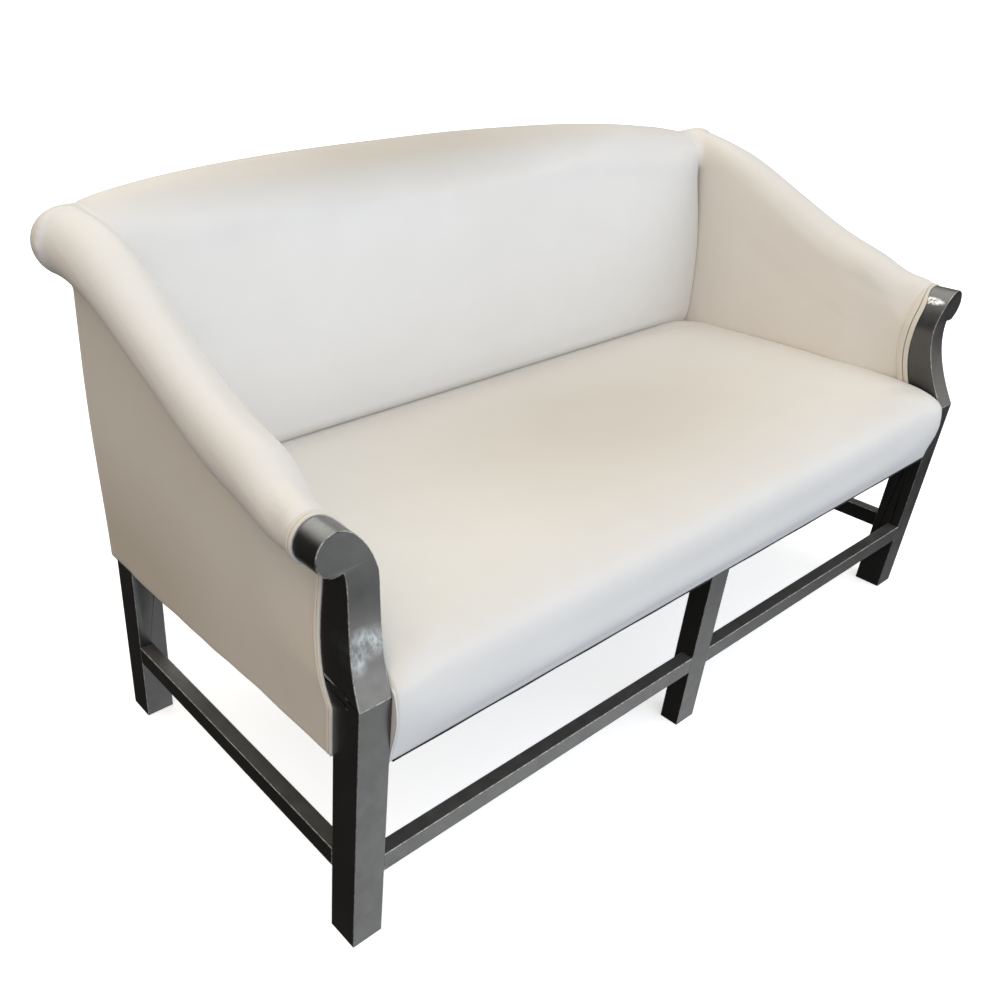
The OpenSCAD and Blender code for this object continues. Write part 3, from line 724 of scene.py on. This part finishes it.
def make_arm():
    ys = np.concatenate([np.linspace(97, 220, 22), np.linspace(232, 679, 38)])
    rings = []
    for y in ys:
        out, back = arm_ring(y)
        ring = np.vstack([out, back])
        g = float(1 - smoothstep(97, 215, y))
        yy = y + (post_rear(ring[:, 1]) + 2 - 97) * g
        rings.append(np.stack([-HW + ring[:, 0], yy, ring[:, 1]], 1))
    arm = tube_rings("arm_main", rings)
    # rounded rear end of the roll
    rr = []
    for t in np.linspace(0, 1, 18):
        y = 672 + (728 - 672) * math.sin(t * math.pi / 2)
        q = math.sin(t * math.pi / 2)
        k = max(1 - q ** 2.5, 0.0005) ** (1 / 2.5)
        a = np.linspace(0, 2 * np.pi, 56, endpoint=False)
        r = 47.0 * k
        rr.append(np.stack([-HW - 1.0 + r * np.cos(a), np.full(56, y), 818.5 + r * np.sin(a)], 1))
    ball = tube_rings("arm_ball", rr)
    # the corner, from the end of the arm's roll to the end of the back's roll
    cc = []
    for u in np.linspace(-2, 66, 16):
        w = float(smoothstep(-2, 42, u))
        ring = roll_section((640 + (632.5 - 640) * w, 820 + (800 - 820) * w), (692 + (706 - 692) * w, 865 + (855 - 865) * w),
                            (727 + (726.5 - 727) * w, 822 + (832 - 822) * w), (688 + (700 - 688) * w, 773 + (772.5 - 773) * w))
        cc.append(np.stack([np.full(len(ring), -HW + u), ring[:, 0], ring[:, 1]], 1))
    corner = tube_rings("arm_corner", cc)
    bm = bmesh.new()
    for o in (arm, ball, corner):
        bm.from_mesh(o.data)
    me = bpy.data.meshes.new("left_arm_pad")
    bm.to_mesh(me)
    bm.free()
    for o in (arm, ball, corner):
        bpy.data.objects.remove(o)
    ob = bpy.data.objects.new("left_arm_pad", me)
    scene.collection.objects.link(ob)
    m = ob.modifiers.new("Remesh", "REMESH")
    m.mode = "VOXEL"
    m.voxel_size = 0.0046
    s = ob.modifiers.new("Smooth", "SMOOTH")
    s.factor = 0.5
    s.iterations = 7
    apply_mods(ob)
    c = coords(ob)
    y = (c[:, 1] - FY) * 1000
    z = c[:, 2] * 1000
    u = c[:, 0] * 1000 + HW
    # the roll's end and the corner are one smooth skin
    round_off = smoothstep(612, 650, y) * (1 - 0.75 * smoothstep(712, 730, y)) * smoothstep(786, 812, z) * smoothstep(-6, 14, u) * (1 - smoothstep(44, 60, u))
    set_coords(ob, relax(ob, c, round_off, 240, keep=True))
    c = coords(ob)
    y = (c[:, 1] - FY) * 1000
    z = c[:, 2] * 1000
    u = c[:, 0] * 1000 + HW
    # its hidden lower end stops inside the back
    c[:, 1] = np.minimum(y, 664 + 90 * smoothstep(690, 770, z)) / 1000 + FY
    set_coords(ob, c)
    y = (c[:, 1] - FY) * 1000
    free = smoothstep(100, 150, y) * smoothstep(425, 470, z) * (1 - 0.6 * smoothstep(560, 600, y)) * np.where(u > 30, smoothstep(-180, -50, z - az(y)), smoothstep(0.0, 30, z - (az(y) - 44)))
    cloth(ob, np.clip(free, 0, 1), 3.0, 20, 0.003)
    subdivide(ob)
    return ob


def both(ob, name):
    """The mirrored piece, and then each side settled on its own."""
    o = mirrored(ob, name)
    settle(ob)
    settle(o)
    return o


left_arm = make_arm()
right_arm = both(left_arm, "right_arm_pad")
finish_piece(left_arm, CREAM, "leather", "left_arm_cover", "left_arm_foam")
finish_piece(right_arm, CREAM, "leather", "right_arm_cover", "right_arm_foam")


# ------------------------------------------------------------------ outside arm panels
def crease_rho(y):
    return float(np.interp(y, [97, 200, 420, 560, 668], [2.0, 3.0, 6.0, 14.0, 30.0]))


def panel_u(y, z):
    w = smoothstep(97, 235, y)
    return (1 - w) * post_out(z) + w * 1.0


def panel_section(y, n_arc=14, n_low=44):
    yy = min(y, 679)
    cu, cz, r = float(au(yy)), float(az(yy)), float(ar(yy))
    rho = crease_rho(y)
    zf = cz - r
    for _ in range(6):
        up = float(panel_u(y, zf))
        fu = up - rho
        q = (r + rho) ** 2 - (cu - fu) ** 2
        zf = cz - math.sqrt(max(q, 1.0))
    F = np.array([fu, zf])
    d = F - np.array([cu, cz])
    d /= np.linalg.norm(d)
    a0 = math.atan2(-d[1], -d[0])
    a = np.linspace(a0, 0.0, n_arc)
    arc = F + rho * np.stack([np.cos(a), np.sin(a)], 1)
    z = np.linspace(zf, 316, n_low)[1:]
    low = np.stack([panel_u(y, z), z], 1)
    return np.vstack([arc, low])


def hem_profile(z, y):
    """The folded lower edge: a thin raised lip, slightly uneven."""
    lip = np.exp(-((z - (319.5 + 0.7 * np.sin(y / 23) + 0.5 * np.sin(y / 7.3 + 1))) / 2.0) ** 2)
    return -0.9 * lip


def make_side_panel():
    ys = np.concatenate([np.linspace(97, 240, 34), np.linspace(250, 664, 46)])
    top = []
    for y in ys:
        s = panel_section(y)
        u = s[:, 0] + hem_profile(s[:, 1], y)
        # slight fullness, and a slow unevenness along the hem
        z = s[:, 1].copy()
        span = np.clip((z - 316) / (z[0] - 316 + 1e-6), 0, 1)
        full = 2.2 * np.sin(np.pi * span) * float(smoothstep(97, 260, y)) * float(1 - smoothstep(600, 664, y))
        u = u - full
        u = u - 3.0 * float(smoothstep(420, 660, y)) * np.sin(np.pi * np.clip((s[:, 1] - 316) / 444, 0, 1))
        g = float(1 - smoothstep(97, 235, y))
        yy = y + (post_rear(z) + 1.5 - 97) * g + rake(z) * float(smoothstep(480, 664, y))
        z = z + (0.8 * np.sin(y / 31.0) + 0.5 * np.sin(y / 12.0 + 2) - 15.0 * float(smoothstep(40, 560, y))) * (1 - smoothstep(316, 350, z))
        top.append(np.stack([-HW + u, yy, z], 1))
    # round the rear corner
    last = top[-1]
    for a in (22, 45, 68, 90):
        ra = math.radians(a)
        p = last.copy()
        p[:, 0] += 5 * (1 - math.cos(ra))
        p[:, 1] += 5.5 * math.sin(ra)
        top.append(p)
    p = top[-1].copy(); p[:, 0] += 9
    top.append(p)
    top = np.array(top)
    bottom = top.copy()
    bottom[:, :, 0] += 3.0
    bottom[-5:, :, 1] -= 3.0
    bottom[-5:, :, 0] = np.maximum(bottom[-5:, :, 0], top[-6:-5, :, 0] + 3.0)
    ob = slab("left_outer_panel", top, bottom)
    return subdivide(ob)


left_panel = make_side_panel()
right_panel = both(left_panel, "right_outer_panel")
finish_piece(left_panel, CREAM_OUT_PAINTED_SHADE, "outer_leather", "left_outside_panel")
finish_piece(right_panel, CREAM_OUT_PAINTED_SHADE, "outer_leather", "right_outside_panel")


# ------------------------------------------------------------------ double welt round the posts' rear edge
def welt_path(off, dy):
    out = [[-0.2, z] for z in np.linspace(317, 418, 14)]
    out += [[a - 0.2, b] for a, b in even(OUTER, 30)[1:-2]]
    k = np.radians(np.linspace(272, 92, 44))
    out += [[SU + (SR + 1.3) * math.cos(a), SZ + (SR + 1.3) * math.sin(a)] for a in k]
    out += [[a + 0.8, b + 1.0] for a, b in even(CAP[::-1], 20)[1:]]
    out += [[a + 0.6, b] for a, b in even(INNER[::-1], 26)[1:] if b > 440]
    p = np.array(out)
    # the corner under the scroll is turned softly
    p = even(p, 220)
    for _ in range(10):
        p[1:-1] = 0.25 * p[:-2] + 0.5 * p[1:-1] + 0.25 * p[2:]
    t = np.gradient(p, axis=0)
    t /= np.linalg.norm(t, axis=1)[:, None]
    nrm = np.stack([-t[:, 1], t[:, 0]], 1)
    p = p + off * nrm
    return np.stack([-HW + p[:, 0], post_rear(p[:, 1]) + dy, p[:, 1]], 1)


def welt_band(name, rows):
    """One covered cord: round behind the wood outside and over the scroll, flatter and lying on the wood's inner face."""
    p = welt_path(0.0, 0.0)
    n = len(p)
    t = np.gradient(p, axis=0)
    t /= np.linalg.norm(t, axis=1)[:, None]
    nrm = np.cross(t, [0.0, 1.0, 0.0])
    nrm /= np.linalg.norm(nrm, axis=1)[:, None]
    k = np.linspace(0, 2 * np.pi, 24, endpoint=False)[:, None]
    inner = smoothstep(-HW + 22, -HW + 56, p[:, 0]) * smoothstep(395, 440, p[:, 2])
    rings = []
    for i in range(n):
        q = float(inner[i])
        out = nrm[i]
        dy, wide, high, flat = [r0 + (r1 - r0) * q for r0, r1 in rows]
        e = 1.0 if min(i, n - 1 - i) > 1 else (0.35, 0.8)[min(i, n - 1 - i)]
        c = np.maximum(np.sign(np.cos(k)) * np.abs(np.cos(k)) ** (1 - 0.45 * q), -flat)
        sn = np.sign(np.sin(k)) * np.abs(np.sin(k)) ** (1 - 0.3 * q)
        rings.append(p[i] + out * (0.25 * q) + high * e * c * out + wide * e * sn * np.array([0.0, 1.0, 0.0]) + np.array([0.0, dy, 0.0]))
    return tube_rings(name, rings)


def make_welt():
    a = welt_band("w1", ((3.4, -4.7), (2.7, 4.6), (2.7, 1.7), (1.0, 0.0)))
    b = welt_band("w2", ((8.9, 7.0), (2.7, 6.0), (2.7, 2.2), (1.0, 0.3)))
    bm = bmesh.new()
    bm.from_mesh(a.data); bm.from_mesh(b.data)
    me = bpy.data.meshes.new("left_double_welt")
    bm.to_mesh(me); bm.free()
    bpy.data.objects.remove(a); bpy.data.objects.remove(b)
    me.polygons.foreach_set("use_smooth", [True] * len(me.polygons))
    ob = bpy.data.objects.new("left_double_welt", me)
    scene.collection.objects.link(ob)
    return ob


left_welt = make_welt()
right_welt = mirrored(left_welt, "right_double_welt")
finish_piece(left_welt, WELT_PAINTED_SHADE, "leather", "left_arm_welt")
finish_piece(right_welt, WELT_PAINTED_SHADE, "leather", "right_arm_welt")


# ------------------------------------------------------------------ seat
def make_seat():
    front = resample(SEAT, 84)
    tip = resample(SEAT_END, 84)
    rear = resample([[590, 458], [600, 449], [605, 431], [606, 412]], 12)[1:]
    path = np.vstack([front, rear])
    under = even([[606, 412], [604, 406.5], [300, 406.5], [12, 406.5], [4.5, 400], [4.0, 318]], 60)[1:]
    ring = np.vstack([path, under])
    n = len(ring)
    t = np.roll(ring, -1, 0) - np.roll(ring, 1, 0)
    t /= np.linalg.norm(t, axis=1)[:, None]
    nrm = np.stack([-t[:, 1], t[:, 0]], 1)
    r = 3.0 + 2.0 * (1 - smoothstep(15, 60, ring[:, 0]))
    cols = [(-1, a) for a in (90, 75, 60, 45, 30, 15)] + [(s, 0) for s in np.linspace(-1, 1, 110)] + [(1, a) for a in (15, 30, 45, 60, 75, 90)]
    top_w = np.zeros(n)
    top_w[:len(path)] = 1
    grid = []
    y, z = ring[:, 0], ring[:, 1]
    lim = HW - np.where(y < 97, np.maximum(post_in(np.minimum(z, 568)), 50) + 0.8,
                        arm_in(np.maximum(y, 97), np.maximum(z, 406)) + 0.8)
    # ease the change of the end's line where the post stops and the arm begins
    lim = np.convolve(np.concatenate([[lim[0]] * 2, lim, [lim[-1]] * 2]), [0.1, 0.2, 0.4, 0.2, 0.1], "valid")
    for s, a in cols:
        ra = math.radians(a)
        if a:
            x = np.sign(s) * (lim - r * (1 - math.sin(ra)) * top_w)
            x = np.sign(s) * (lim - r + r * math.sin(ra))
            ins = r * (1 - math.cos(ra)) * top_w
        else:
            x = s * (lim - r)
            ins = np.zeros(n)
        # the last 60 mm turn down to the end's own section
        q = np.clip(1 - (lim - np.abs(x)) / 60.0, 0, 1)
        w = (1 - np.sqrt(np.maximum(1 - q * q, 0)))[:, None]
        own = np.vstack([(1 - w[:84]) * front + w[:84] * tip, ring[84:]])
        # crown: a little fuller towards the middle of the seat, and less at its ends
        q = x / 700.0
        crown = (7.0 * (1 - q**2) - 3.0 * q**6) * smoothstep(20, 140, y) * (1 - smoothstep(480, 570, y)) * top_w
        belly = (2.0 * (1 - q**4)) * np.exp(-((z - 395) / 40.0) ** 2) * (y < 20) * top_w
        p = own - nrm * ins[:, None]
        zz = p[:, 1] + crown - 6.0 * smoothstep(640, 692, np.abs(x)) * smoothstep(520, 590, y) * top_w
        yy = p[:, 0] - belly
        grid.append(np.stack([x, yy, zz], 1))
    ob = tube_rings("seat_pad", np.array(grid))
    c = coords(ob)
    yl = (c[:, 1] - FY) * 1000
    zl = c[:, 2] * 1000
    xl = np.abs(c[:, 0]) * 1000
    free = smoothstep(318, 345, zl) * (1 - smoothstep(540, 575, yl)) * (1 - smoothstep(660, 700, xl)) * np.where((yl > 8) & (zl < 440), 0, 1)
    cloth(ob, free, 4.0, 20, 0.005)
    return subdivide(ob)


def seat_piping():
    """A thin cord sewn along each end of the seat's front, from the lower edge up to the posts' kink."""
    line = resample(SEAT_END[:11], 60)
    t = np.gradient(line, axis=0)
    t /= np.linalg.norm(t, axis=1)[:, None]
    nrm = np.stack([-t[:, 1], t[:, 0]], 1)
    k = np.linspace(0, 2 * np.pi, 10, endpoint=False)[:, None]
    out = []
    for sx in (-1, 1):
        rings = []
        for i, (q, m) in enumerate(zip(line, nrm)):
            e = 1.35 * (1.0 if 1 < i < 58 else 0.6)
            a = np.array([1.0, 0, 0]); b = np.array([0, m[0], m[1]])
            rings.append(np.array([sx * (HW - 51.9), q[0], q[1]]) - 0.7 * b + e * (np.cos(k) * a + np.sin(k) * b))
        out.append(tube_rings("seat_piping", rings))
    return out


seat = make_seat()
bm = bmesh.new()
bm.from_mesh(seat.data)
for o in seat_piping():
    bm.from_mesh(o.data)
    bpy.data.objects.remove(o)
bm.to_mesh(seat.data)
bm.free()
seat.data.polygons.foreach_set("use_smooth", [True] * len(seat.data.polygons))
finish_piece(seat, CREAM, "leather", "seat_cover", "seat_foam")


# ------------------------------------------------------------------ inside back with its roll
def fuller(x, z):
    return (11 + 5 * (1 - (x / 720) ** 4)) * np.sin(np.pi * np.clip((z - 445) / (roll_z(x) - 495), 0, 1))


def back_front(x):  # front of the roll, y
    return roll_y(x) - 46 + 6.0 * (abs(x) / 702) ** 4


def back_face(x, z):
    tuck = 16 * (1 - 0.75 * np.clip(abs(x) / 690, 0, 1) ** 6) * np.clip((484 - z) / 27, 0, 1.5) ** 2
    return back_front(x) - 0.148 * np.maximum(roll_z(x) - z, 0) - fuller(x, z) + tuck


def back_ring(x):
    yf, zt = float(back_front(x)), float(arch(x)) - 3.0
    yt, zf = yf + 74, zt - 57
    z = np.linspace(432, zf - 8, 54)
    face = np.stack([back_face(x, z), z], 1)
    sec = roll_section((yf, zf), (yt, zt), (yt + 21, zt - 25), (yt - 7, zt - 85), 20)
    rl = sec[:64]
    up = np.vstack([face, rl])
    up = even(up, 124)
    for _ in range(3):
        up[1:-1] = 0.25 * up[:-2] + 0.5 * up[1:-1] + 0.25 * up[2:]
    tail = even([rl[-1], [681, zt - 84], [672, zt - 82], [664, zt - 76], [655, zt - 74], [640, zt - 110], [630, zt - 124], [612, 445], [606, 434], up[0]], 46)[1:-1]
    return up, tail


def make_back():
    r = 4.5
    xe = 703.5
    cols = [(-1, a) for a in (90, 75, 60, 45, 30, 15)] + [(s, 0) for s in np.linspace(-1, 1, 112)] + [(1, a) for a in (15, 30, 45, 60, 75, 90)]
    grid = []
    for s, a in cols:
        ra = math.radians(a)
        x0 = np.sign(s) * (xe - r + r * math.sin(ra)) if a else s * (xe - r)
        up, tail = back_ring(x0)
        t = np.gradient(up, axis=0)
        t /= np.linalg.norm(t, axis=1)[:, None]
        nrm = np.stack([-t[:, 1], t[:, 0]], 1)
        ins = r * (1 - math.cos(ra)) if a else 0.0
        up = up - nrm * ins
        ring = np.vstack([up, tail])
        z = ring[:, 1]
        # the ends follow the arms' inner faces, a narrow gap away from them
        end = np.minimum(HW - wall_u(620.0, np.minimum(z, 790)) - 3.0, xe)
        x = x0 - np.sign(x0) * abs(x0 / xe) ** 8 * (xe - end)
        if x0 < 0:
            x = x - abs(x0 / xe) ** 9 * 24.0 * smoothstep(600, 700, ring[:, 0]) * smoothstep(790, 830, z)
        grid.append(np.stack([x, ring[:, 0], z], 1))
    ob = tube_rings("back_pad", np.array(grid))
    c = coords(ob)
    yl = (c[:, 1] - FY) * 1000
    zl = c[:, 2] * 1000
    xl = np.abs(c[:, 0]) * 1000
    free = smoothstep(470, 510, zl) * (1 - smoothstep(672, 696, xl)) * np.where((yl > 640) & (zl < 800), 0, 1) * (1 - smoothstep(690, 712, yl))
    cloth(ob, free, 3.0, 20, 0.004)
    settle(ob)
    return subdivide(ob)


back = make_back()
finish_piece(back, CREAM, "leather", "inside_back_cover", "back_foam")


# ------------------------------------------------------------------ outside back
def make_outside_back():
    sec = panel_section(664.0)
    ts = np.concatenate([np.linspace(0, 0.03, 8), np.linspace(0.06, 0.88, 34), np.linspace(0.9, 1, 14)])
    xs = np.concatenate([[-1], np.linspace(-0.997, 0.997, 119), [1]])
    rho = 24.0
    grid = []
    for t in ts:
        row = []
        for s in xs:
            x = s * (HW - 1)
            for _ in range(3):
                ax = abs(x)
                if ax < 702:
                    zb = float(arch(x)) - 88.0
                    yq = float(back_front(x)) + 74 - 7
                else:
                    u = HW - ax
                    zb = 773.0
                    if u < -1.0:
                        zb = 818.5 - math.sqrt(max(47.0**2 - (-1.0 - u) ** 2, 100)) + 2
                z = 316 + (zb + 0.5 - 316) * t
                zc = min(z, float(sec[0, 1]))
                ue = float(np.interp(zc, sec[::-1, 1], sec[::-1, 0])) + 5.0 - 3.0 * math.sin(math.pi * min(max((z - 316) / 444, 0), 1))
                x = s * (HW - ue)
            zs = zb - 23.0
            flare = rho - math.sqrt(max(rho**2 - max(z - zs, 0) ** 2, 0))
            full = 4.0 * (1 - s**4) * math.sin(math.pi * t)
            lip = 0.9 * math.exp(-((z - 319.5 - 0.6 * math.sin(x / 27)) / 2.0) ** 2)
            edge = 1.8 * max(0.0, (abs(s) - 0.997) / 0.003) ** 2
            drop = -15.0 * (1 - float(smoothstep(316, 350, z))) * abs(s) ** 3
            row.append([x, 670.2 + float(rake(z)) + flare + full + lip - edge, z + drop + (0.8 * math.sin(x / 37) if z < 322 else 0)])
        grid.append(row)
    top = np.array(grid)
    bottom = top.copy()
    bottom[:, :, 1] -= 3.2
    ob = slab("outer_back_panel", top, bottom)
    settle(ob)
    return subdivide(ob)


outer_back = make_outside_back()
finish_piece(outer_back, CREAM_OUT_PAINTED_SHADE, "outer_leather", "outside_back_panel")


# ------------------------------------------------------------------ dust cloth and burlap
def make_dust():
    xs = np.linspace(-756, 756, 90)
    ys = np.concatenate([[1.2, 1.6], np.linspace(6, 640, 40)])
    top = np.zeros((len(xs), len(ys), 3))
    for i, x in enumerate(xs):
        for j, y in enumerate(ys):
            sag = 3.2 * (1 - (x / 756) ** 2) * math.sin(math.pi * min(max(y / 640, 0), 1))
            pull = 0.35 * math.sin(x / 11.0) * math.exp(-y / 30.0) + 0.3 * math.sin(y / 9.0) * math.exp(-(756 - abs(x)) / 25.0)
            z = 317.6 - sag + pull
            top[i, j] = (x, y, z)
    # the folded front edge
    top[:, 0, 1] = 0.9
    top[:, 0, 2] = 317.0 + 0.4 * np.sin(xs / 19.0)
    top[:, 1, 1] = 0.7
    top[:, 1, 2] = 313.6 + 0.4 * np.sin(xs / 23.0)
    top[:, 2, 1] = 3.0
    top[:, 2, 2] = 314.4
    # cut out round the legs
    nx, ny = len(xs), len(ys)
    f, v = [], top.reshape(-1, 3)

    def leg(x, y):
        a = abs(x)
        return (a > 711 and (y < 51 or y > 591)) or (a < 25 and (y < 35 or y > 600))
    for i in range(nx - 1):
        for j in range(ny - 1):
            cx = (xs[i] + xs[i + 1]) / 2
            cy = (ys[j] + ys[j + 1]) / 2
            if not leg(cx, cy):
                f.append((i * ny + j, i * ny + j + 1, (i + 1) * ny + j + 1, (i + 1) * ny + j))
    used = sorted({k for q in f for k in q})
    at = {k: i for i, k in enumerate(used)}
    ob = obj_from("dust_cloth", v[used], [[at[k] for k in q] for q in f])
    s = ob.modifiers.new("Solidify", "SOLIDIFY")
    s.thickness = 0.0006
    s.offset = 1
    apply_mods(ob)
    return ob


dust = make_dust()
finish_piece(dust, CAMBRIC, "dust_cloth", "dust_cover")


def make_burlap(name, fn, nu, nv):
    g = np.array([[fn(a, b) for b in np.linspace(0, 1, nv)] for a in np.linspace(0, 1, nu)])
    ob = obj_from(name, g.reshape(-1, 3), grid_faces(nu, nv))
    s = ob.modifiers.new("Solidify", "SOLIDIFY")
    s.thickness = 0.0012
    s.offset = 0
    return apply_mods(ob)


def seat_burlap(a, b):
    x, y = -702 + 1404 * a, 8 + 622 * b
    sag = 1.0 * math.sin(8 * math.pi * a) ** 2 * math.sin(math.pi * b)
    return (x, y, 404.4 - sag)


def back_burlap(a, b):
    x = -680 + 1360 * a
    z = 416 + (float(roll_z(x)) - 76 - 416) * b
    return (x, 605 + 0.065 * (z - 400) + 1.0 + 0.5 * math.sin(6 * math.pi * a) ** 2 * math.sin(math.pi * b), z)


sb = make_burlap("seat_burlap_cloth", seat_burlap, 90, 42)
finish_piece(sb, BURLAP, "burlap", "seat_burlap")
bb = make_burlap("back_burlap_cloth", back_burlap, 90, 30)
finish_piece(bb, BURLAP, "burlap", "back_burlap")


# ------------------------------------------------------------------ stage and light
def make_stage():
    prof = [(-9, 0.0), (5.0, 0.0)]
    for a in np.linspace(0, 90, 14)[1:]:
        prof.append((5.0 + 2.5 * math.sin(math.radians(a)), 2.5 - 2.5 * math.cos(math.radians(a))))
    prof.append((7.5, 9.0))
    rot = math.radians(-20)
    v, f = [], []
    for i, (d, h) in enumerate(prof):
        for s in (-14, 14):
            x, y = s, d
            v.append((x * math.cos(rot) - y * math.sin(rot), x * math.sin(rot) + y * math.cos(rot), h - 0.0004))
    for i in range(len(prof) - 1):
        f.append((2 * i, 2 * i + 1, 2 * i + 3, 2 * i + 2))
    me = bpy.data.meshes.new("studio_floor")
    me.from_pydata(v, [], f)
    me.polygons.foreach_set("use_smooth", [True] * len(me.polygons))
    ob = bpy.data.objects.new("studio_floor", me)
    scene.collection.objects.link(ob)
    m = Mat("studio_paper")
    n = m.noise(3.0, 3, 0.5)
    m.set(Base_Color=m.mix(m.map(n, 0.3, 0.7, 0, 1), (0.90, 0.90, 0.90), (0.92, 0.92, 0.92)),
          Roughness=0.9, Emission_Color=(1.0, 1.0, 1.0, 1.0), Emission_Strength=0.60)
    m.set(Specular_IOR_Level=0.1)
    me.materials.append(m.m)
    ob.visible_diffuse = False
    ob.visible_glossy = False


make_stage()


def make_world():
    w = bpy.data.worlds.new("studio")
    scene.world = w
    w.use_nodes = True
    t = w.node_tree
    co = t.nodes.new("ShaderNodeTexCoord")

    def lobe(direction, lo, hi, colour):
        d = Vector(direction).normalized()
        n = t.nodes.new("ShaderNodeVectorMath"); n.operation = "DOT_PRODUCT"
        t.links.new(co.outputs["Generated"], n.inputs[0])
        n.inputs[1].default_value = d
        r = t.nodes.new("ShaderNodeMapRange"); r.interpolation_type = "SMOOTHSTEP"
        for k, x in zip(("From Min", "From Max", "To Min", "To Max"), (lo, hi, 0, 1)):
            r.inputs[k].default_value = x
        t.links.new(n.outputs["Value"], r.inputs["Value"])
        s = t.nodes.new("ShaderNodeVectorMath"); s.operation = "SCALE"
        s.inputs[0].default_value = colour
        t.links.new(r.outputs["Result"], s.inputs["Scale"])
        return s.outputs["Vector"]

    def background(base, lobes):
        total = None
        for l in lobes:
            a = t.nodes.new("ShaderNodeVectorMath"); a.operation = "ADD"
            if total is None:
                a.inputs[0].default_value = base
            else:
                t.links.new(total, a.inputs[0])
            t.links.new(lobe(*l), a.inputs[1])
            total = a.outputs["Vector"]
        b = t.nodes.new("ShaderNodeBackground")
        t.links.new(total, b.inputs["Color"])
        b.inputs["Strength"].default_value = 1.0
        return b

    # soft light: large pale sources in front, overhead and to both sides
    soft = background((0.08, 0.08, 0.08), [
        ((0, -1, 0.05), 0.3, 1, (0.25, 0.41, 0.63)), ((0.7, -0.7, 0.1), 0.4, 1, (0.72, 0.64, 0.59)),
        ((1, 0, 0.15), 0.4, 1, (0.20, 0.19, 0.18)), ((-1, 0, 0.05), 0.4, 1, (0.12, 0.105, 0.09)), ((0, 1, 0.3), 0.3, 1, (0.30, 0.30, 0.30)),
        ((0, -0.7, 0.7), 0.5, 1, (0.76, 0.86, 0.95)), ((-0.7, -0.2, 0.7), 0.5, 1, (0.84, 0.65, 0.46)),
        ((0, 0.6, 0.8), 0.5, 1, (0.86, 0.84, 0.70))])
    # what the lacquer mirrors: the lit paper in front of the piece and the light above
    mirror = background((0.03, 0.03, 0.029), [
        ((0.50, -0.53, -0.68), 0.88, 0.99, (1.42, 1.44, 1.47)), ((0.45, -0.88, 0.18), 0.88, 0.98, (2.8, 2.83, 2.88)),
        ((0.8, -0.58, 0.25), 0.90, 0.99, (1.3, 1.25, 1.18)), ((0.1, 0.6, 0.8), 0.70, 0.95, (2.4, 2.4, 2.33)),
        ((-0.3, -0.3, 0.9), 0.6, 0.95, (0.9, 0.88, 0.84))])
    path = t.nodes.new("ShaderNodeLightPath")
    mix = t.nodes.new("ShaderNodeMixShader")
    t.links.new(path.outputs["Is Glossy Ray"], mix.inputs[0])
    t.links.new(soft.outputs[0], mix.inputs[1])
    t.links.new(mirror.outputs[0], mix.inputs[2])
    plain = t.nodes.new("ShaderNodeBackground")
    plain.inputs["Color"].default_value = (1, 1, 1, 1)
    seen = t.nodes.new("ShaderNodeMixShader")
    t.links.new(path.outputs["Is Camera Ray"], seen.inputs[0])
    t.links.new(mix.outputs[0], seen.inputs[1])
    t.links.new(plain.outputs[0], seen.inputs[2])
    t.links.new(seen.outputs[0], t.nodes["World Output"].inputs["Surface"])


make_world()
scene.view_settings.view_transform = "Standard"
scene.view_settings.look = "None"
